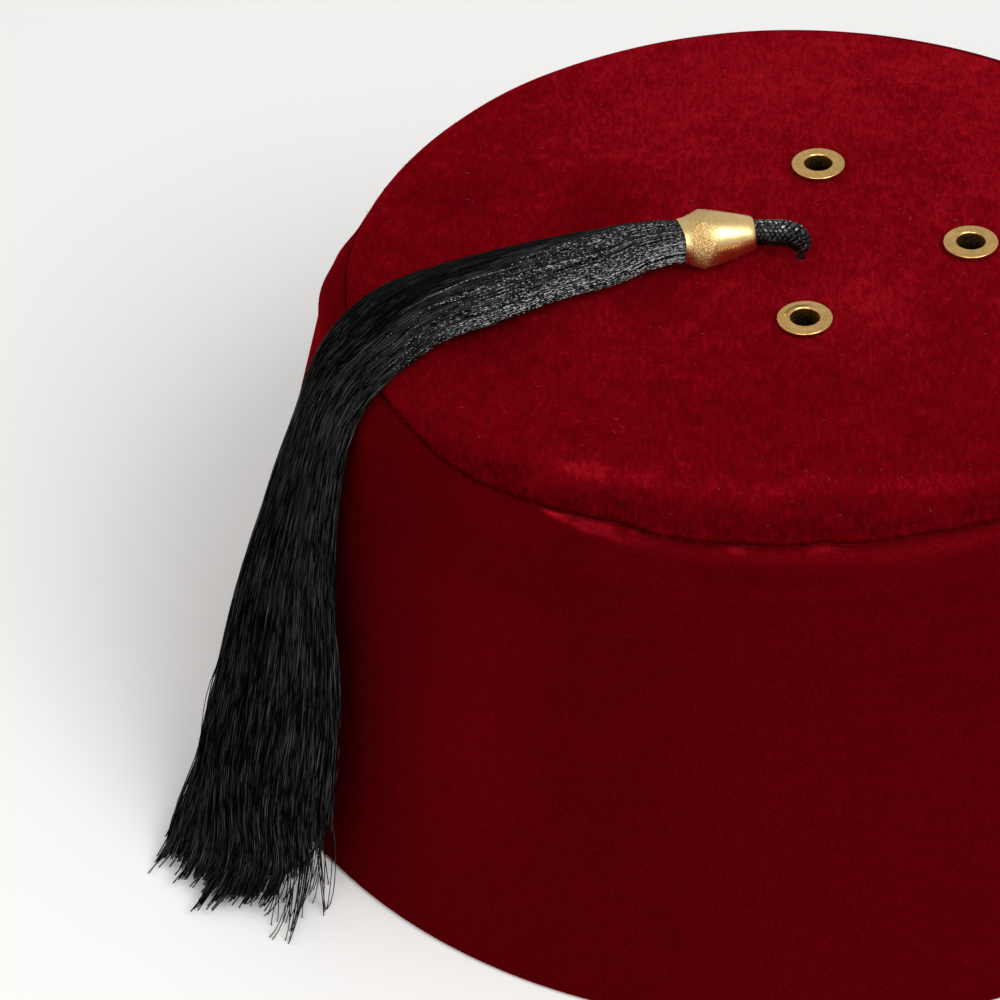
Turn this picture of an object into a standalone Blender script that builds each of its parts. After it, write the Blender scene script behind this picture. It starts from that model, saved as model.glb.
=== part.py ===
"""A low velvet fez with a flat tip, four brass eyelets and a black tassel.

Metres, +Z up. The hat rests on its rolled rim on the plane z = 0, and the
origin is at the bottom centre of the whole piece, tassel included. The
tassel is fastened near the middle of the tip, lies towards -X, bends over
the seam and hangs down the wall to the floor.
"""

import math

import bmesh
import bpy
from mathutils import Matrix, Vector

# Hat form
RIM_RADIUS = 0.0955
SHOULDER_RADIUS = 0.0768
SEAM_RADIUS = 0.0717
HAT_HEIGHT = 0.0783
SHOULDER_DROP = 0.0069
BAND_WALL = 0.0028
TIP_THICKNESS = 0.0024
TIP_CROWN = 0.0006
TIP_EDGE_ROUND = 0.0016
SEAM_GROOVE = 0.0012
SEAM_INSET = 0.0026
PUCKER_HEIGHT = 0.0013
ALLOWANCE_REACH = 0.0035
ALLOWANCE_THICKNESS = 0.0015
RIM_ROLL = 0.0009
RIM_FLAT = 0.0012

# Eyelets
EYELET_DIAMETER = 0.0090
EYELET_HOLE = 0.0047
EYELET_WALL = 0.0004
EYELET_RISE = 0.0009
EYELET_BACK_DIAMETER = 0.0080
EYELET_BACK_RISE = 0.0007

# Tassel
CORD_DIAMETER = 0.0044
CORD_RUN = 0.0070
KNOT_DIAMETER = 0.0074
KNOT_LENGTH = 0.0042
CAP_LENGTH = 0.0118
CAP_RIDGE_RADIUS = 0.00485
CAP_COLLAR_RADIUS = 0.00375
CAP_WALL = 0.0004
CAP_DIRECTION = -168.8
SKIRT_NECK_RADIUS = 0.00305
SKIRT_WIDTH = 0.0200
SKIRT_THICKNESS = 0.0060
SKIRT_SPLAY = 0.0240
HEAD_LENGTH = 0.0050

# Clearance between pieces that touch on the real hat
GAP = 0.0003

# Roundness
HAT_SEGMENTS = 96
TURNED_SEGMENTS = 24
EYELET_SEGMENTS = 20

# How far the seam is drawn in from its circle, as shares of SEAM_INSET
SEAM_ROWS = (
    # azimuth, inset
    (-160, 0.25),
    (-146, 0.35),
    (-136, 0.10),
    (-128, 0.00),
    (-118, 0.15),
    (-112, 1.00),
    (-106, 0.90),
    (-98, 0.75),
    (-90, 0.90),
    (-82, 1.00),
    (-73, 0.90),
    (-66, 0.50),
    (-58, 0.15),
    (-40, 0.00),
    (60, 0.00),
    (150, 0.10),
    (176, 0.00),
)

# How far the shoulder stands out from the seam, as shares of its full width
SHOULDER_ROWS = (
    # azimuth, stand_out
    (-178, 0.95),
    (-166, 1.00),
    (90, 1.00),
    (125, 0.70),
    (150, 0.35),
    (168, 0.35),
    (174, 0.75),
)

# Puckers of the band just under the seam, as shares of PUCKER_HEIGHT
PUCKER_ROWS = (
    # azimuth, half width in degrees, bulge
    (-113, 6, 1.00),
    (-101, 5, -0.45),
    (-91, 5, 0.35),
    (-80, 6, 0.40),
    (-138, 6, -0.30),
    (180, 7, 0.70),
    (159, 14, -0.60),
)

# Eyelet places as shares of SEAM_RADIUS
EYELET_ROWS = (
    # name, x, y
    ("eyelet_1", 0.084, 0.380),
    ("eyelet_2", 0.429, 0.064),
    ("eyelet_3", 0.050, -0.222),
    ("eyelet_4", -0.297, 0.094),
)

# The hole that the cord comes out of, as shares of SEAM_RADIUS
CORD_HOLE_X = 0.031
CORD_HOLE_Y = 0.041

# The tassel's way over the hat. Along is a share of the stretch; under, width
# and thick are shares of SKIRT_THICKNESS, SKIRT_WIDTH and SKIRT_THICKNESS.
SKIRT_ROWS = (
    # stretch, along, azimuth, under, width, thick
    ("tip", 0.320, -176.8, 0.30, 0.46, 1.08),
    ("tip", 0.432, -172.4, 0.24, 0.66, 1.02),
    ("tip", 0.560, -169.6, 0.12, 0.76, 0.99),
    ("tip", 0.690, -167.2, 0.08, 0.87, 0.96),
    ("tip", 0.800, -164.9, 0.08, 0.92, 0.93),
    ("tip", 0.900, -162.0, 0.10, 0.90, 0.86),
    ("shoulder", 0.10, -159.2, 0.10, 0.87, 0.80),
    ("shoulder", 0.45, -157.2, 0.08, 0.86, 0.80),
    ("shoulder", 0.80, -156.0, 0.05, 0.88, 0.85),
    ("wall", 0.10, -155.6, 0.05, 0.97, 0.96),
    ("wall", 0.28, -154.2, 0.12, 1.22, 1.24),
    ("wall", 0.48, -150.9, 0.25, 1.62, 1.66),
    ("wall", 0.67, -147.7, 0.45, 1.96, 1.94),
    ("wall", 0.85, -145.7, 0.80, 1.98, 2.08),
    ("floor", 0.46, -144.8, 0.06, 1.78, 1.45),
    ("floor", 0.61, -144.2, 0.06, 1.68, 0.98),
    ("floor", 0.73, -143.8, 0.06, 1.60, 0.62),
)

# Cut ends of the skirt's locks, going round its outline from the side seen
# from the tassel's left, as shares of SKIRT_RAGGED
LOCK_ENDS = (1.00, 0.55, 0.70, 0.30, 0.05, -0.35, -0.20, -0.80, -0.55, -0.30, 0.10, 0.60)
SKIRT_RAGGED = 0.0050
FLUTE_AT_NECK = 0.05
FLUTE_AT_END = 0.20
POINTS_PER_LOCK = 4
SKIRT_STATIONS = 28
SKIRT_END_SET_BACK = 0.0050


def clear_scene():
    for thing in list(bpy.data.objects):
        bpy.data.objects.remove(thing, do_unlink=True)


def make_material(name, colour, roughness, metallic=0.0):
    material = bpy.data.materials.new(name)
    material.use_nodes = True
    shader = material.node_tree.nodes["Principled BSDF"]
    shader.inputs["Base Color"].default_value = (*colour, 1.0)
    shader.inputs["Roughness"].default_value = roughness
    shader.inputs["Metallic"].default_value = metallic
    return material


def add_object(name, mesh, material, smooth_angle=40.0):
    thing = bpy.data.objects.new(name, mesh)
    bpy.context.scene.collection.objects.link(thing)
    mesh.materials.append(material)
    mesh.shade_smooth()
    mesh.set_sharp_from_angle(angle=math.radians(smooth_angle))
    return thing


def mesh_from(name, points, faces):
    """A mesh whose faces are turned to point outwards."""
    mesh = bpy.data.meshes.new(name)
    work = bmesh.new()
    corners = [work.verts.new(point) for point in points]
    for face in faces:
        work.faces.new([corners[index] for index in face])
    bmesh.ops.recalc_face_normals(work, faces=work.faces)
    if work.calc_volume(signed=True) < 0:
        bmesh.ops.reverse_faces(work, faces=work.faces)
    work.to_mesh(mesh)
    work.free()
    return mesh


def ring_faces(rings, sides, closed_along):
    """Quads between rings of points. Closed along joins the last ring to the first."""
    faces = []
    count = rings if closed_along else rings - 1
    for ring in range(count):
        after = (ring + 1) % rings
        for side in range(sides):
            beside = (side + 1) % sides
            faces.append(
                (
                    ring * sides + side,
                    ring * sides + beside,
                    after * sides + beside,
                    after * sides + side,
                )
            )
    return faces


def loft(name, rings):
    """A closed body through rings of points with flat ends."""
    sides = len(rings[0])
    points = [point for ring in rings for point in ring]
    faces = ring_faces(len(rings), sides, closed_along=False)
    faces.append(tuple(range(sides)))
    faces.append(tuple(range(len(points) - sides, len(points))))
    return mesh_from(name, points, faces)


def turned_ring(name, profile, segments):
    """A closed outline of (radius, height) turned about Z, open along the axis."""
    points = []
    for step in range(segments):
        turn = 2 * math.pi * step / segments
        for radius, height in profile:
            points.append((radius * math.cos(turn), radius * math.sin(turn), height))
    return mesh_from(name, points, ring_faces(segments, len(profile), closed_along=True))


def smooth_between(share):
    share = max(0.0, min(1.0, share))
    return share * share * (3 - 2 * share)


def angle_between(first, second):
    """The signed angle in degrees from the first azimuth to the second."""
    return (second - first + 180) % 360 - 180


def table_value(rows, azimuth):
    """The second column of a table round the hat, read smoothly between its azimuths."""
    rows = sorted(rows)
    rows = rows + [(rows[0][0] + 360, rows[0][1])]
    place = (azimuth - rows[0][0]) % 360 + rows[0][0]
    for (low, low_value), (high, high_value) in zip(rows, rows[1:]):
        if place <= high:
            share = smooth_between((place - low) / (high - low))
            return low_value + (high_value - low_value) * share
    return rows[-1][1]


def seam_radius(azimuth):
    """The seam's radius at an azimuth in degrees, drawn in where the sewing wanders."""
    return SEAM_RADIUS - SEAM_INSET * table_value(SEAM_ROWS, azimuth)


def pucker(azimuth):
    """How far the band stands out under the seam at an azimuth."""
    total = 0.0
    for middle, half_width, bulge in PUCKER_ROWS:
        away = abs(angle_between(middle, azimuth)) / half_width
        total += bulge * PUCKER_HEIGHT * smooth_between(1 - away)
    return total


def tip_top(radius):
    """Height of the tip's velvet at a distance from the hat's axis."""
    return HAT_HEIGHT + TIP_CROWN * (1 - (radius / SEAM_RADIUS) ** 2)


SHOULDER_HEIGHT = HAT_HEIGHT - SHOULDER_DROP


def shoulder_radius(azimuth):
    """The radius at which the wall begins, smaller where the shoulder is tucked in."""
    return SEAM_RADIUS + (SHOULDER_RADIUS - SEAM_RADIUS) * table_value(SHOULDER_ROWS, azimuth)


def shoulder_point(share, azimuth):
    """(radius, height) on the rounded shoulder, from the seam at 0 to the wall at 1."""
    inner = seam_radius(azimuth) + GAP / 2
    turn = share * math.pi / 2
    rise = SHOULDER_DROP - SEAM_GROOVE
    bulge = pucker(azimuth) * math.sin(math.pi * share)
    radius = inner + (shoulder_radius(azimuth) - inner + bulge) * math.sin(turn)
    height = SHOULDER_HEIGHT + (rise + bulge) * math.cos(turn)
    return radius, height


def wall_point(share, azimuth):
    """(radius, height) on the outside of the wall, from the shoulder at 0 to the rim at 1."""
    top = shoulder_radius(azimuth)
    radius = top + (RIM_RADIUS - top) * share
    height = SHOULDER_HEIGHT + (RIM_ROLL - SHOULDER_HEIGHT) * share
    return radius, height


def band_profile(azimuth):
    """The band's closed outline at one azimuth: seam, shoulder, wall, rolled rim, inside."""
    seam = seam_radius(azimuth)
    under_tip = HAT_HEIGHT - TIP_THICKNESS - GAP
    outline = [(seam - ALLOWANCE_REACH, under_tip), (seam + GAP / 2, under_tip)]
    outline += [shoulder_point(step / 5, azimuth) for step in range(6)]
    outline += [wall_point(share, azimuth) for share in (0.25, 0.5, 0.75, 1.0)]
    half_way = wall_point(0.5, azimuth)
    outline += [
        (RIM_RADIUS - 0.3 * RIM_ROLL, 0.35 * RIM_ROLL),
        (RIM_RADIUS - RIM_ROLL, 0.0),
        (RIM_RADIUS - RIM_ROLL - RIM_FLAT, 0.0),
        (RIM_RADIUS - BAND_WALL, RIM_ROLL),
        (half_way[0] - BAND_WALL, half_way[1]),
        (shoulder_radius(azimuth) - BAND_WALL, SHOULDER_HEIGHT),
        (seam - ALLOWANCE_REACH, under_tip - ALLOWANCE_THICKNESS),
    ]
    return outline


def make_side_band(material):
    points = []
    sides = 0
    for step in range(HAT_SEGMENTS):
        azimuth = 360.0 * step / HAT_SEGMENTS
        turn = math.radians(azimuth)
        outline = band_profile(azimuth)
        sides = len(outline)
        for radius, height in outline:
            points.append((radius * math.cos(turn), radius * math.sin(turn), height))
    mesh = mesh_from("side_band", points, ring_faces(HAT_SEGMENTS, sides, closed_along=True))
    return add_object("side_band", mesh, material)


def hole_cutter(name, x, y, radius):
    """A round cutter through the tip, kept out of the render."""
    bpy.ops.mesh.primitive_cylinder_add(
        vertices=EYELET_SEGMENTS,
        radius=radius,
        depth=4 * TIP_THICKNESS,
        location=(x, y, HAT_HEIGHT - TIP_THICKNESS / 2),
    )
    cutter = bpy.context.object
    cutter.name = name
    cutter.hide_render = True
    cutter.display_type = "WIRE"
    return cutter


def eyelet_places():
    return [(name, x * SEAM_RADIUS, y * SEAM_RADIUS) for name, x, y in EYELET_ROWS]


def cord_hole():
    return CORD_HOLE_X * SEAM_RADIUS, CORD_HOLE_Y * SEAM_RADIUS


def make_tip(material):
    """The flat top: a disc with a rounded edge, pierced for the eyelets and the cord."""
    underside = HAT_HEIGHT - TIP_THICKNESS
    rings = []
    for inset, drop in (
        (0.0, SEAM_GROOVE + 0.4 * TIP_EDGE_ROUND),
        (0.0, SEAM_GROOVE),
        (0.12 * TIP_EDGE_ROUND, 0.45 * SEAM_GROOVE),
        (0.45 * TIP_EDGE_ROUND, 0.12 * SEAM_GROOVE),
        (TIP_EDGE_ROUND, 0.0),
    ):
        ring = []
        for step in range(HAT_SEGMENTS):
            azimuth = 360.0 * step / HAT_SEGMENTS
            turn = math.radians(azimuth)
            radius = seam_radius(azimuth) - GAP / 2 - inset
            ring.append(Vector((radius * math.cos(turn), radius * math.sin(turn),
                                tip_top(radius) - drop)))
        rings.append(ring)
    for share in (0.72, 0.40):
        ring = []
        for step in range(HAT_SEGMENTS):
            turn = 2 * math.pi * step / HAT_SEGMENTS
            radius = share * SEAM_RADIUS
            ring.append(Vector((radius * math.cos(turn), radius * math.sin(turn), tip_top(radius))))
        rings.append(ring)
    bottom = [Vector((point.x, point.y, underside)) for point in rings[0]]
    tip = add_object("tip", loft("tip", [bottom] + rings), material)
    barrel = EYELET_HOLE / 2 + EYELET_WALL + GAP
    for name, x, y in eyelet_places():
        cut = tip.modifiers.new("hole_" + name, "BOOLEAN")
        cut.operation = "DIFFERENCE"
        cut.object = hole_cutter("cutter_" + name, x, y, barrel)
    x, y = cord_hole()
    cut = tip.modifiers.new("hole_cord", "BOOLEAN")
    cut.operation = "DIFFERENCE"
    cut.object = hole_cutter("cutter_cord", x, y, CORD_DIAMETER / 2 + GAP)
    return tip


def eyelet_profile(seat):
    """A pressed eyelet: domed flange over the tip, barrel through it, rolled back below."""
    hole = EYELET_HOLE / 2
    outer = EYELET_DIAMETER / 2
    back = EYELET_BACK_DIAMETER / 2
    under_flange = seat + GAP
    top = under_flange + EYELET_RISE
    over_back = HAT_HEIGHT - TIP_THICKNESS - GAP
    bottom = over_back - EYELET_BACK_RISE
    return [
        (outer, under_flange),
        (outer - 0.1 * EYELET_RISE, under_flange + 0.5 * EYELET_RISE),
        (outer - 0.8 * EYELET_RISE, top),
        (hole + 0.8 * EYELET_RISE, top),
        (hole, top - 0.8 * EYELET_RISE),
        (hole, bottom + 0.4 * EYELET_BACK_RISE),
        (hole + 0.5 * EYELET_BACK_RISE, bottom),
        (back, bottom + 0.4 * EYELET_BACK_RISE),
        (back, over_back),
        (hole + EYELET_WALL, over_back),
        (hole + EYELET_WALL, under_flange),
    ]


def make_eyelets(material):
    for name, x, y in eyelet_places():
        seat = tip_top(max(0.0, math.hypot(x, y) - EYELET_DIAMETER / 2))
        mesh = turned_ring(name, eyelet_profile(seat), EYELET_SEGMENTS)
        eyelet = add_object(name, mesh, material)
        eyelet.location = (x, y, 0)


def cap_axis():
    """The cap's small end and its mouth, lying on the tip."""
    x, y = cord_hole()
    turn = math.radians(CAP_DIRECTION)
    along = Vector((math.cos(turn), math.sin(turn), 0))
    height = tip_top(0.0) + GAP + CAP_RIDGE_RADIUS
    small_end = Vector((x, y, height)) + along * CORD_RUN
    return small_end, small_end + along * CAP_LENGTH, along


def cap_profile():
    """The cap's closed outline, from the mouth at height 0 to its small end."""
    length = CAP_LENGTH
    cord_way = CORD_DIAMETER / 2 + GAP
    return [
        (CAP_COLLAR_RADIUS, 0.0),
        (CAP_COLLAR_RADIUS, 0.07 * length),
        (CAP_COLLAR_RADIUS + 0.35 * (CAP_RIDGE_RADIUS - CAP_COLLAR_RADIUS), 0.16 * length),
        (CAP_RIDGE_RADIUS, 0.26 * length),
        (CAP_RIDGE_RADIUS, 0.31 * length),
        (cord_way + CAP_WALL, 0.98 * length),
        (cord_way + 0.6 * CAP_WALL, length),
        (cord_way, length),
        (cord_way, 0.92 * length),
        (CAP_RIDGE_RADIUS - CAP_WALL, 0.33 * length),
        (CAP_RIDGE_RADIUS - CAP_WALL, 0.25 * length),
        (CAP_COLLAR_RADIUS - CAP_WALL, 0.12 * length),
        (CAP_COLLAR_RADIUS - CAP_WALL, 0.0),
    ]


def make_cap(material):
    small_end, mouth, along = cap_axis()
    mesh = turned_ring("tassel_cap", cap_profile(), TURNED_SEGMENTS)
    cap = add_object("tassel_cap", mesh, material, smooth_angle=30.0)
    cap.location = mouth
    cap.rotation_euler = (-along).to_track_quat("Z", "Y").to_euler()


def through(points, steps):
    """A smooth curve through the points, with this many steps between two of them."""
    ends = [points[0] * 2 - points[1]] + list(points) + [points[-1] * 2 - points[-2]]
    found = []
    for before, start, end, after in zip(ends, ends[1:], ends[2:], ends[3:]):
        for step in range(steps):
            share = step / steps
            found.append(0.5 * (
                2 * start
                + (end - before) * share
                + (2 * before - 5 * start + 4 * end - after) * share ** 2
                + (3 * start - before - 3 * end + after) * share ** 3
            ))
    found.append(points[-1].copy())
    return found


def make_cord(material):
    """The braided cord: from inside the cap, over and down through the tip to its knot."""
    small_end, mouth, along = cap_axis()
    x, y = cord_hole()
    top = tip_top(0.0)
    under = HAT_HEIGHT - TIP_THICKNESS
    rise = small_end.z - top
    route = [
        small_end + along * (0.30 * CAP_LENGTH),
        small_end,
        Vector((x, y, top + 0.93 * rise)) + along * (0.36 * CORD_RUN),
        Vector((x, y, top + 0.52 * rise)) + along * (0.07 * CORD_RUN),
        Vector((x, y, top)),
        Vector((x, y, under)),
    ]
    points = through(route, 3)
    radii = [1.0] * len(points)
    knot = KNOT_DIAMETER / CORD_DIAMETER
    for down, radius in ((0.04, 1.0), (0.22, 0.9 * knot), (0.6, knot), (0.92, 0.8 * knot), (1.0, 0.5)):
        points.append(Vector((x, y, under - GAP - down * KNOT_LENGTH)))
        radii.append(radius)
    curve = bpy.data.curves.new("tassel_cord", "CURVE")
    curve.dimensions = "3D"
    curve.bevel_depth = CORD_DIAMETER / 2
    curve.bevel_resolution = 3
    curve.use_fill_caps = True
    spline = curve.splines.new("POLY")
    spline.points.add(len(points) - 1)
    for knot_point, place, radius in zip(spline.points, points, radii):
        knot_point.co = (*place, 1.0)
        knot_point.radius = radius
    curve.materials.append(material)
    cord = bpy.data.objects.new("tassel_cord", curve)
    bpy.context.scene.collection.objects.link(cord)


def hat_surface(stretch, along, azimuth):
    """A point on the hat or floor and the direction out of it, in the plane of radius and height."""
    if stretch == "tip":
        radius = along * SEAM_RADIUS
        return (radius, tip_top(radius)), (0.0, 1.0)
    if stretch == "shoulder":
        radius, height = shoulder_point(along, azimuth)
        after_radius, after_height = shoulder_point(along + 0.01, azimuth)
        run = math.hypot(after_radius - radius, after_height - height)
        return (radius, height), ((height - after_height) / run, (after_radius - radius) / run)
    if stretch == "wall":
        slope = math.atan2(RIM_RADIUS - SHOULDER_RADIUS, SHOULDER_HEIGHT)
        return wall_point(along, azimuth), (math.cos(slope), math.sin(slope))
    return (RIM_RADIUS + along * SKIRT_SPLAY, 0.0), (0.0, 1.0)


def skirt_way():
    """Points, half widths and half thicknesses of the skirt, from inside the cap to the floor."""
    small_end, mouth, along = cap_axis()
    neck = SKIRT_NECK_RADIUS
    centres = [mouth - along * HEAD_LENGTH, mouth - along * (HEAD_LENGTH / 2), mouth]
    halves = [Vector((neck, neck, 0)), Vector((neck, neck, 0)), Vector((neck, neck, 0))]
    outs = [Vector((0, 0, 1))] * 3
    for stretch, share, azimuth, under, width, thick in SKIRT_ROWS:
        (radius, height), (out_radius, out_height) = hat_surface(stretch, share, azimuth)
        lift = GAP + (under + thick / 2) * SKIRT_THICKNESS
        turn = math.radians(azimuth)
        radial = Vector((math.cos(turn), math.sin(turn), 0))
        out = radial * out_radius + Vector((0, 0, out_height))
        centres.append(radial * radius + Vector((0, 0, height)) + out * lift)
        halves.append(Vector((width * SKIRT_WIDTH / 2, thick * SKIRT_THICKNESS / 2, 0)))
        outs.append(out)
    return through(centres, 6), through(halves, 6), through(outs, 6)


def skirt_frames():
    """Evenly spaced frames along the skirt: middle, across, out, half width, half thickness."""
    centres, halves, outs = skirt_way()
    lengths = [0.0]
    for start, end in zip(centres, centres[1:]):
        lengths.append(lengths[-1] + (end - start).length)
    frames = []
    index = 0
    for station in range(SKIRT_STATIONS + 1):
        distance = lengths[-1] * station / SKIRT_STATIONS
        while index < len(lengths) - 2 and lengths[index + 1] < distance:
            index += 1
        share = (distance - lengths[index]) / (lengths[index + 1] - lengths[index])
        middle = centres[index].lerp(centres[index + 1], share)
        half = halves[index].lerp(halves[index + 1], share)
        before = centres[max(index - 2, 0)]
        after = centres[min(index + 3, len(centres) - 1)]
        forward = (after - before).normalized()
        across = forward.cross(outs[index].lerp(outs[index + 1], share)).normalized()
        out = across.cross(forward).normalized()
        frames.append((middle, across, out, half.x, half.y))
    return frames


def fluted_ring(frame, share):
    """One section of the skirt, with a rounded ridge for each lock."""
    middle, across, out, half_width, half_thickness = frame
    depth = FLUTE_AT_NECK + (FLUTE_AT_END - FLUTE_AT_NECK) * share
    count = len(LOCK_ENDS) * POINTS_PER_LOCK
    ring = []
    for point in range(count):
        turn = 2 * math.pi * point / count
        ridge = 1 - depth * (1 - abs(math.cos(len(LOCK_ENDS) * turn / 2)))
        ring.append(
            middle
            + across * (math.cos(turn) * half_width * ridge)
            + out * (math.sin(turn) * half_thickness * ridge)
        )
    return ring


def ragged_end(ring, forward):
    """The last section with each lock cut at its own length and drawn together at its end."""
    ends = []
    for point, place in enumerate(ring):
        lock = round(point / POINTS_PER_LOCK) % len(LOCK_ENDS)
        crest = ring[lock * POINTS_PER_LOCK]
        ends.append(place.lerp(crest, 0.35) + forward * (LOCK_ENDS[lock] * SKIRT_RAGGED))
    return ends


def make_skirt(material):
    """The tassel's skirt: ridged locks in one body with the head inside the cap."""
    frames = skirt_frames()
    rings = [fluted_ring(frame, place / SKIRT_STATIONS) for place, frame in enumerate(frames)]
    forward = frames[-1][0] - frames[-2][0]
    forward.z = 0
    forward.normalize()
    rings[-1] = ragged_end(rings[-1], forward)
    sides = len(rings[0])
    points = [point for ring in rings for point in ring]
    faces = ring_faces(len(rings), sides, closed_along=False)
    faces.append(tuple(range(sides)))
    hollow = frames[-1][0] - forward * SKIRT_END_SET_BACK
    points.append(hollow)
    last = len(points) - 1 - sides
    for side in range(sides):
        faces.append((last + side, last + (side + 1) % sides, len(points) - 1))
    mesh = mesh_from("tassel_skirt", points, faces)
    return add_object("tassel_skirt", mesh, material)


def stand_on_origin():
    """Moves everything so that the origin is at the bottom centre of the whole piece."""
    bpy.context.view_layer.update()
    graph = bpy.context.evaluated_depsgraph_get()
    low = [math.inf] * 2
    high = [-math.inf] * 2
    shown = [thing for thing in bpy.context.scene.objects if not thing.hide_render]
    for thing in shown:
        solid = thing.evaluated_get(graph).to_mesh()
        for vertex in solid.vertices:
            place = thing.matrix_world @ vertex.co
            for axis in range(2):
                low[axis] = min(low[axis], place[axis])
                high[axis] = max(high[axis], place[axis])
        thing.evaluated_get(graph).to_mesh_clear()
    holder = bpy.data.objects.new("hat_axis", None)
    bpy.context.scene.collection.objects.link(holder)
    for thing in list(bpy.context.scene.objects):
        if thing is not holder:
            thing.parent = holder
            thing.matrix_parent_inverse = Matrix.Identity(4)
    holder.location = (-(low[0] + high[0]) / 2, -(low[1] + high[1]) / 2, 0)


clear_scene()
velvet = make_material("crimson_velvet", (0.200, 0.006, 0.010), 0.85)
brass = make_material("antique_brass", (0.46, 0.34, 0.15), 0.35, 1.0)
gold = make_material("satin_gold", (0.72, 0.48, 0.22), 0.38, 1.0)
black = make_material("black_rayon", (0.008, 0.008, 0.009), 0.45)
make_side_band(velvet)
make_tip(velvet)
make_eyelets(brass)
make_cord(black)
make_cap(gold)
make_skirt(black)
stand_on_origin()
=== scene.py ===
# %% [markdown]
# # A velvet fez with a black tassel
# The hat is a low flared band of dark red velvet with a flat round tip sewn into it. Four brass
# eyelets let air through the tip, and a short braided cord comes out near its middle, where it
# holds a small metal cap. A thick black tassel of rayon threads leaves the cap, bends over the
# seam and hangs down the wall to the floor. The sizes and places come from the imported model,
# which is loaded first and stays as it is. Each cell below dresses one part of it.

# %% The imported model
import math

import bmesh
import bpy
import numpy as np
from mathutils import Matrix, Vector, noise


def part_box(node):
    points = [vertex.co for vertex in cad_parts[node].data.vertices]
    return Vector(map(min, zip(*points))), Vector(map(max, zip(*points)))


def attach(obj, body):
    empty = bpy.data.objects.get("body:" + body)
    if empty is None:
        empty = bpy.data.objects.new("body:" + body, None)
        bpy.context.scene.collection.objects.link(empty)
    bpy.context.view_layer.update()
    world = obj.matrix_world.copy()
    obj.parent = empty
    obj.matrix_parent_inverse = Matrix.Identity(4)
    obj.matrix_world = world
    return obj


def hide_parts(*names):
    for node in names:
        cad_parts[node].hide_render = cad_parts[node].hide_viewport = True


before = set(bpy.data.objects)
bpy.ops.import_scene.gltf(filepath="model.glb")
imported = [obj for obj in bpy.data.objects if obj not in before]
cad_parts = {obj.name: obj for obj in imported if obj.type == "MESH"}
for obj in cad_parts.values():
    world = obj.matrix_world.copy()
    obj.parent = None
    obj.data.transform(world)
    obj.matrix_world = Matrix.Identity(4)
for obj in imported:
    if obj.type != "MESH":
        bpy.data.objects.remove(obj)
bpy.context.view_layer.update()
band_low, band_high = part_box("side_band")
tip_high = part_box("tip")[1]
AXIS = Vector(((band_low.x + band_high.x) / 2, (band_low.y + band_high.y) / 2, 0))
print("nodes:", len(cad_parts), "hat axis mm:", [round(part * 1000, 2) for part in AXIS])

# %% [markdown]
# ## The camera
# The picture was taken from about 0.7 m away and 40 degrees above the floor, with a long lens, so
# the hat's far side is hardly smaller than its near side. The camera could be placed by eye, but
# the seam's ellipse, the rim and the eyelets fix it well, so its place and turn are given here as
# numbers measured from those outlines, and the two small tilts are kept.

# %% Camera
PHOTO_SIDE = 1000
FOCAL_LENGTH_PX = 3796.75
SENSOR_MM = 36.0
EYE_FORWARD = 0.50290
EYE_HEIGHT = 0.44702
LOOK_DOWN = 0.6917
LOOK_LEFT = 0.0964
TILT = -0.0609

forward = Vector((
    -math.sin(LOOK_LEFT) * math.cos(LOOK_DOWN),
    math.cos(LOOK_LEFT) * math.cos(LOOK_DOWN),
    -math.sin(LOOK_DOWN),
))
level_right = Vector((math.cos(LOOK_LEFT), math.sin(LOOK_LEFT), 0))
level_up = level_right.cross(forward)
right = level_right * math.cos(TILT) + level_up * math.sin(TILT)
up = level_up * math.cos(TILT) - level_right * math.sin(TILT)
bpy.ops.object.camera_add(location=AXIS + Vector((0, -EYE_FORWARD, EYE_HEIGHT)))
camera = bpy.context.object
camera.name = "photo_camera"
camera.rotation_euler = Matrix((right, up, -forward)).transposed().to_euler()
camera.data.sensor_width = SENSOR_MM
camera.data.lens = FOCAL_LENGTH_PX / PHOTO_SIDE * SENSOR_MM
bpy.context.scene.camera = camera
bpy.context.scene.view_settings.view_transform = "Standard"
print("lens mm:", round(camera.data.lens, 1))

# %% [markdown]
# ## The floor and the light
# The hat stands on a plain pale surface that has no edge in sight. A large soft light stands high
# and to the front right, so the shadow falls softly to the left and behind. A weaker one at the
# front left opens the shadows, and the surroundings fill in the rest. Two area lights and an even
# background are enough for that, and a wide plane does for the floor, as only its tone shows.

# %% Floor and light
FLOOR_TONE = (0.86, 0.855, 0.845, 1.0)
BACKGROUND_TONE = (1.0, 0.995, 0.985, 1.0)
BACKGROUND_STRENGTH = 0.59
KEY_PLACE = (0.62, -0.62, 0.95)
KEY_SIZE = 0.75
KEY_POWER = 10.5
FILL_PLACE = (-0.45, -1.50, 1.20)
FILL_SIZE = 1.05
FILL_POWER = 12.6


def plain_material(name, colour, roughness):
    material = bpy.data.materials.new(name)
    material.use_nodes = True
    shader = material.node_tree.nodes["Principled BSDF"]
    shader.inputs["Base Color"].default_value = colour
    shader.inputs["Roughness"].default_value = roughness
    return material


def add_soft_light(name, place, size, power):
    place = AXIS + Vector(place)
    bpy.ops.object.light_add(type="AREA", location=place)
    light = bpy.context.object
    light.name = name
    light.data.size = size
    light.data.energy = power
    light.rotation_euler = (place - AXIS).to_track_quat("Z", "Y").to_euler()
    return light


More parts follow.
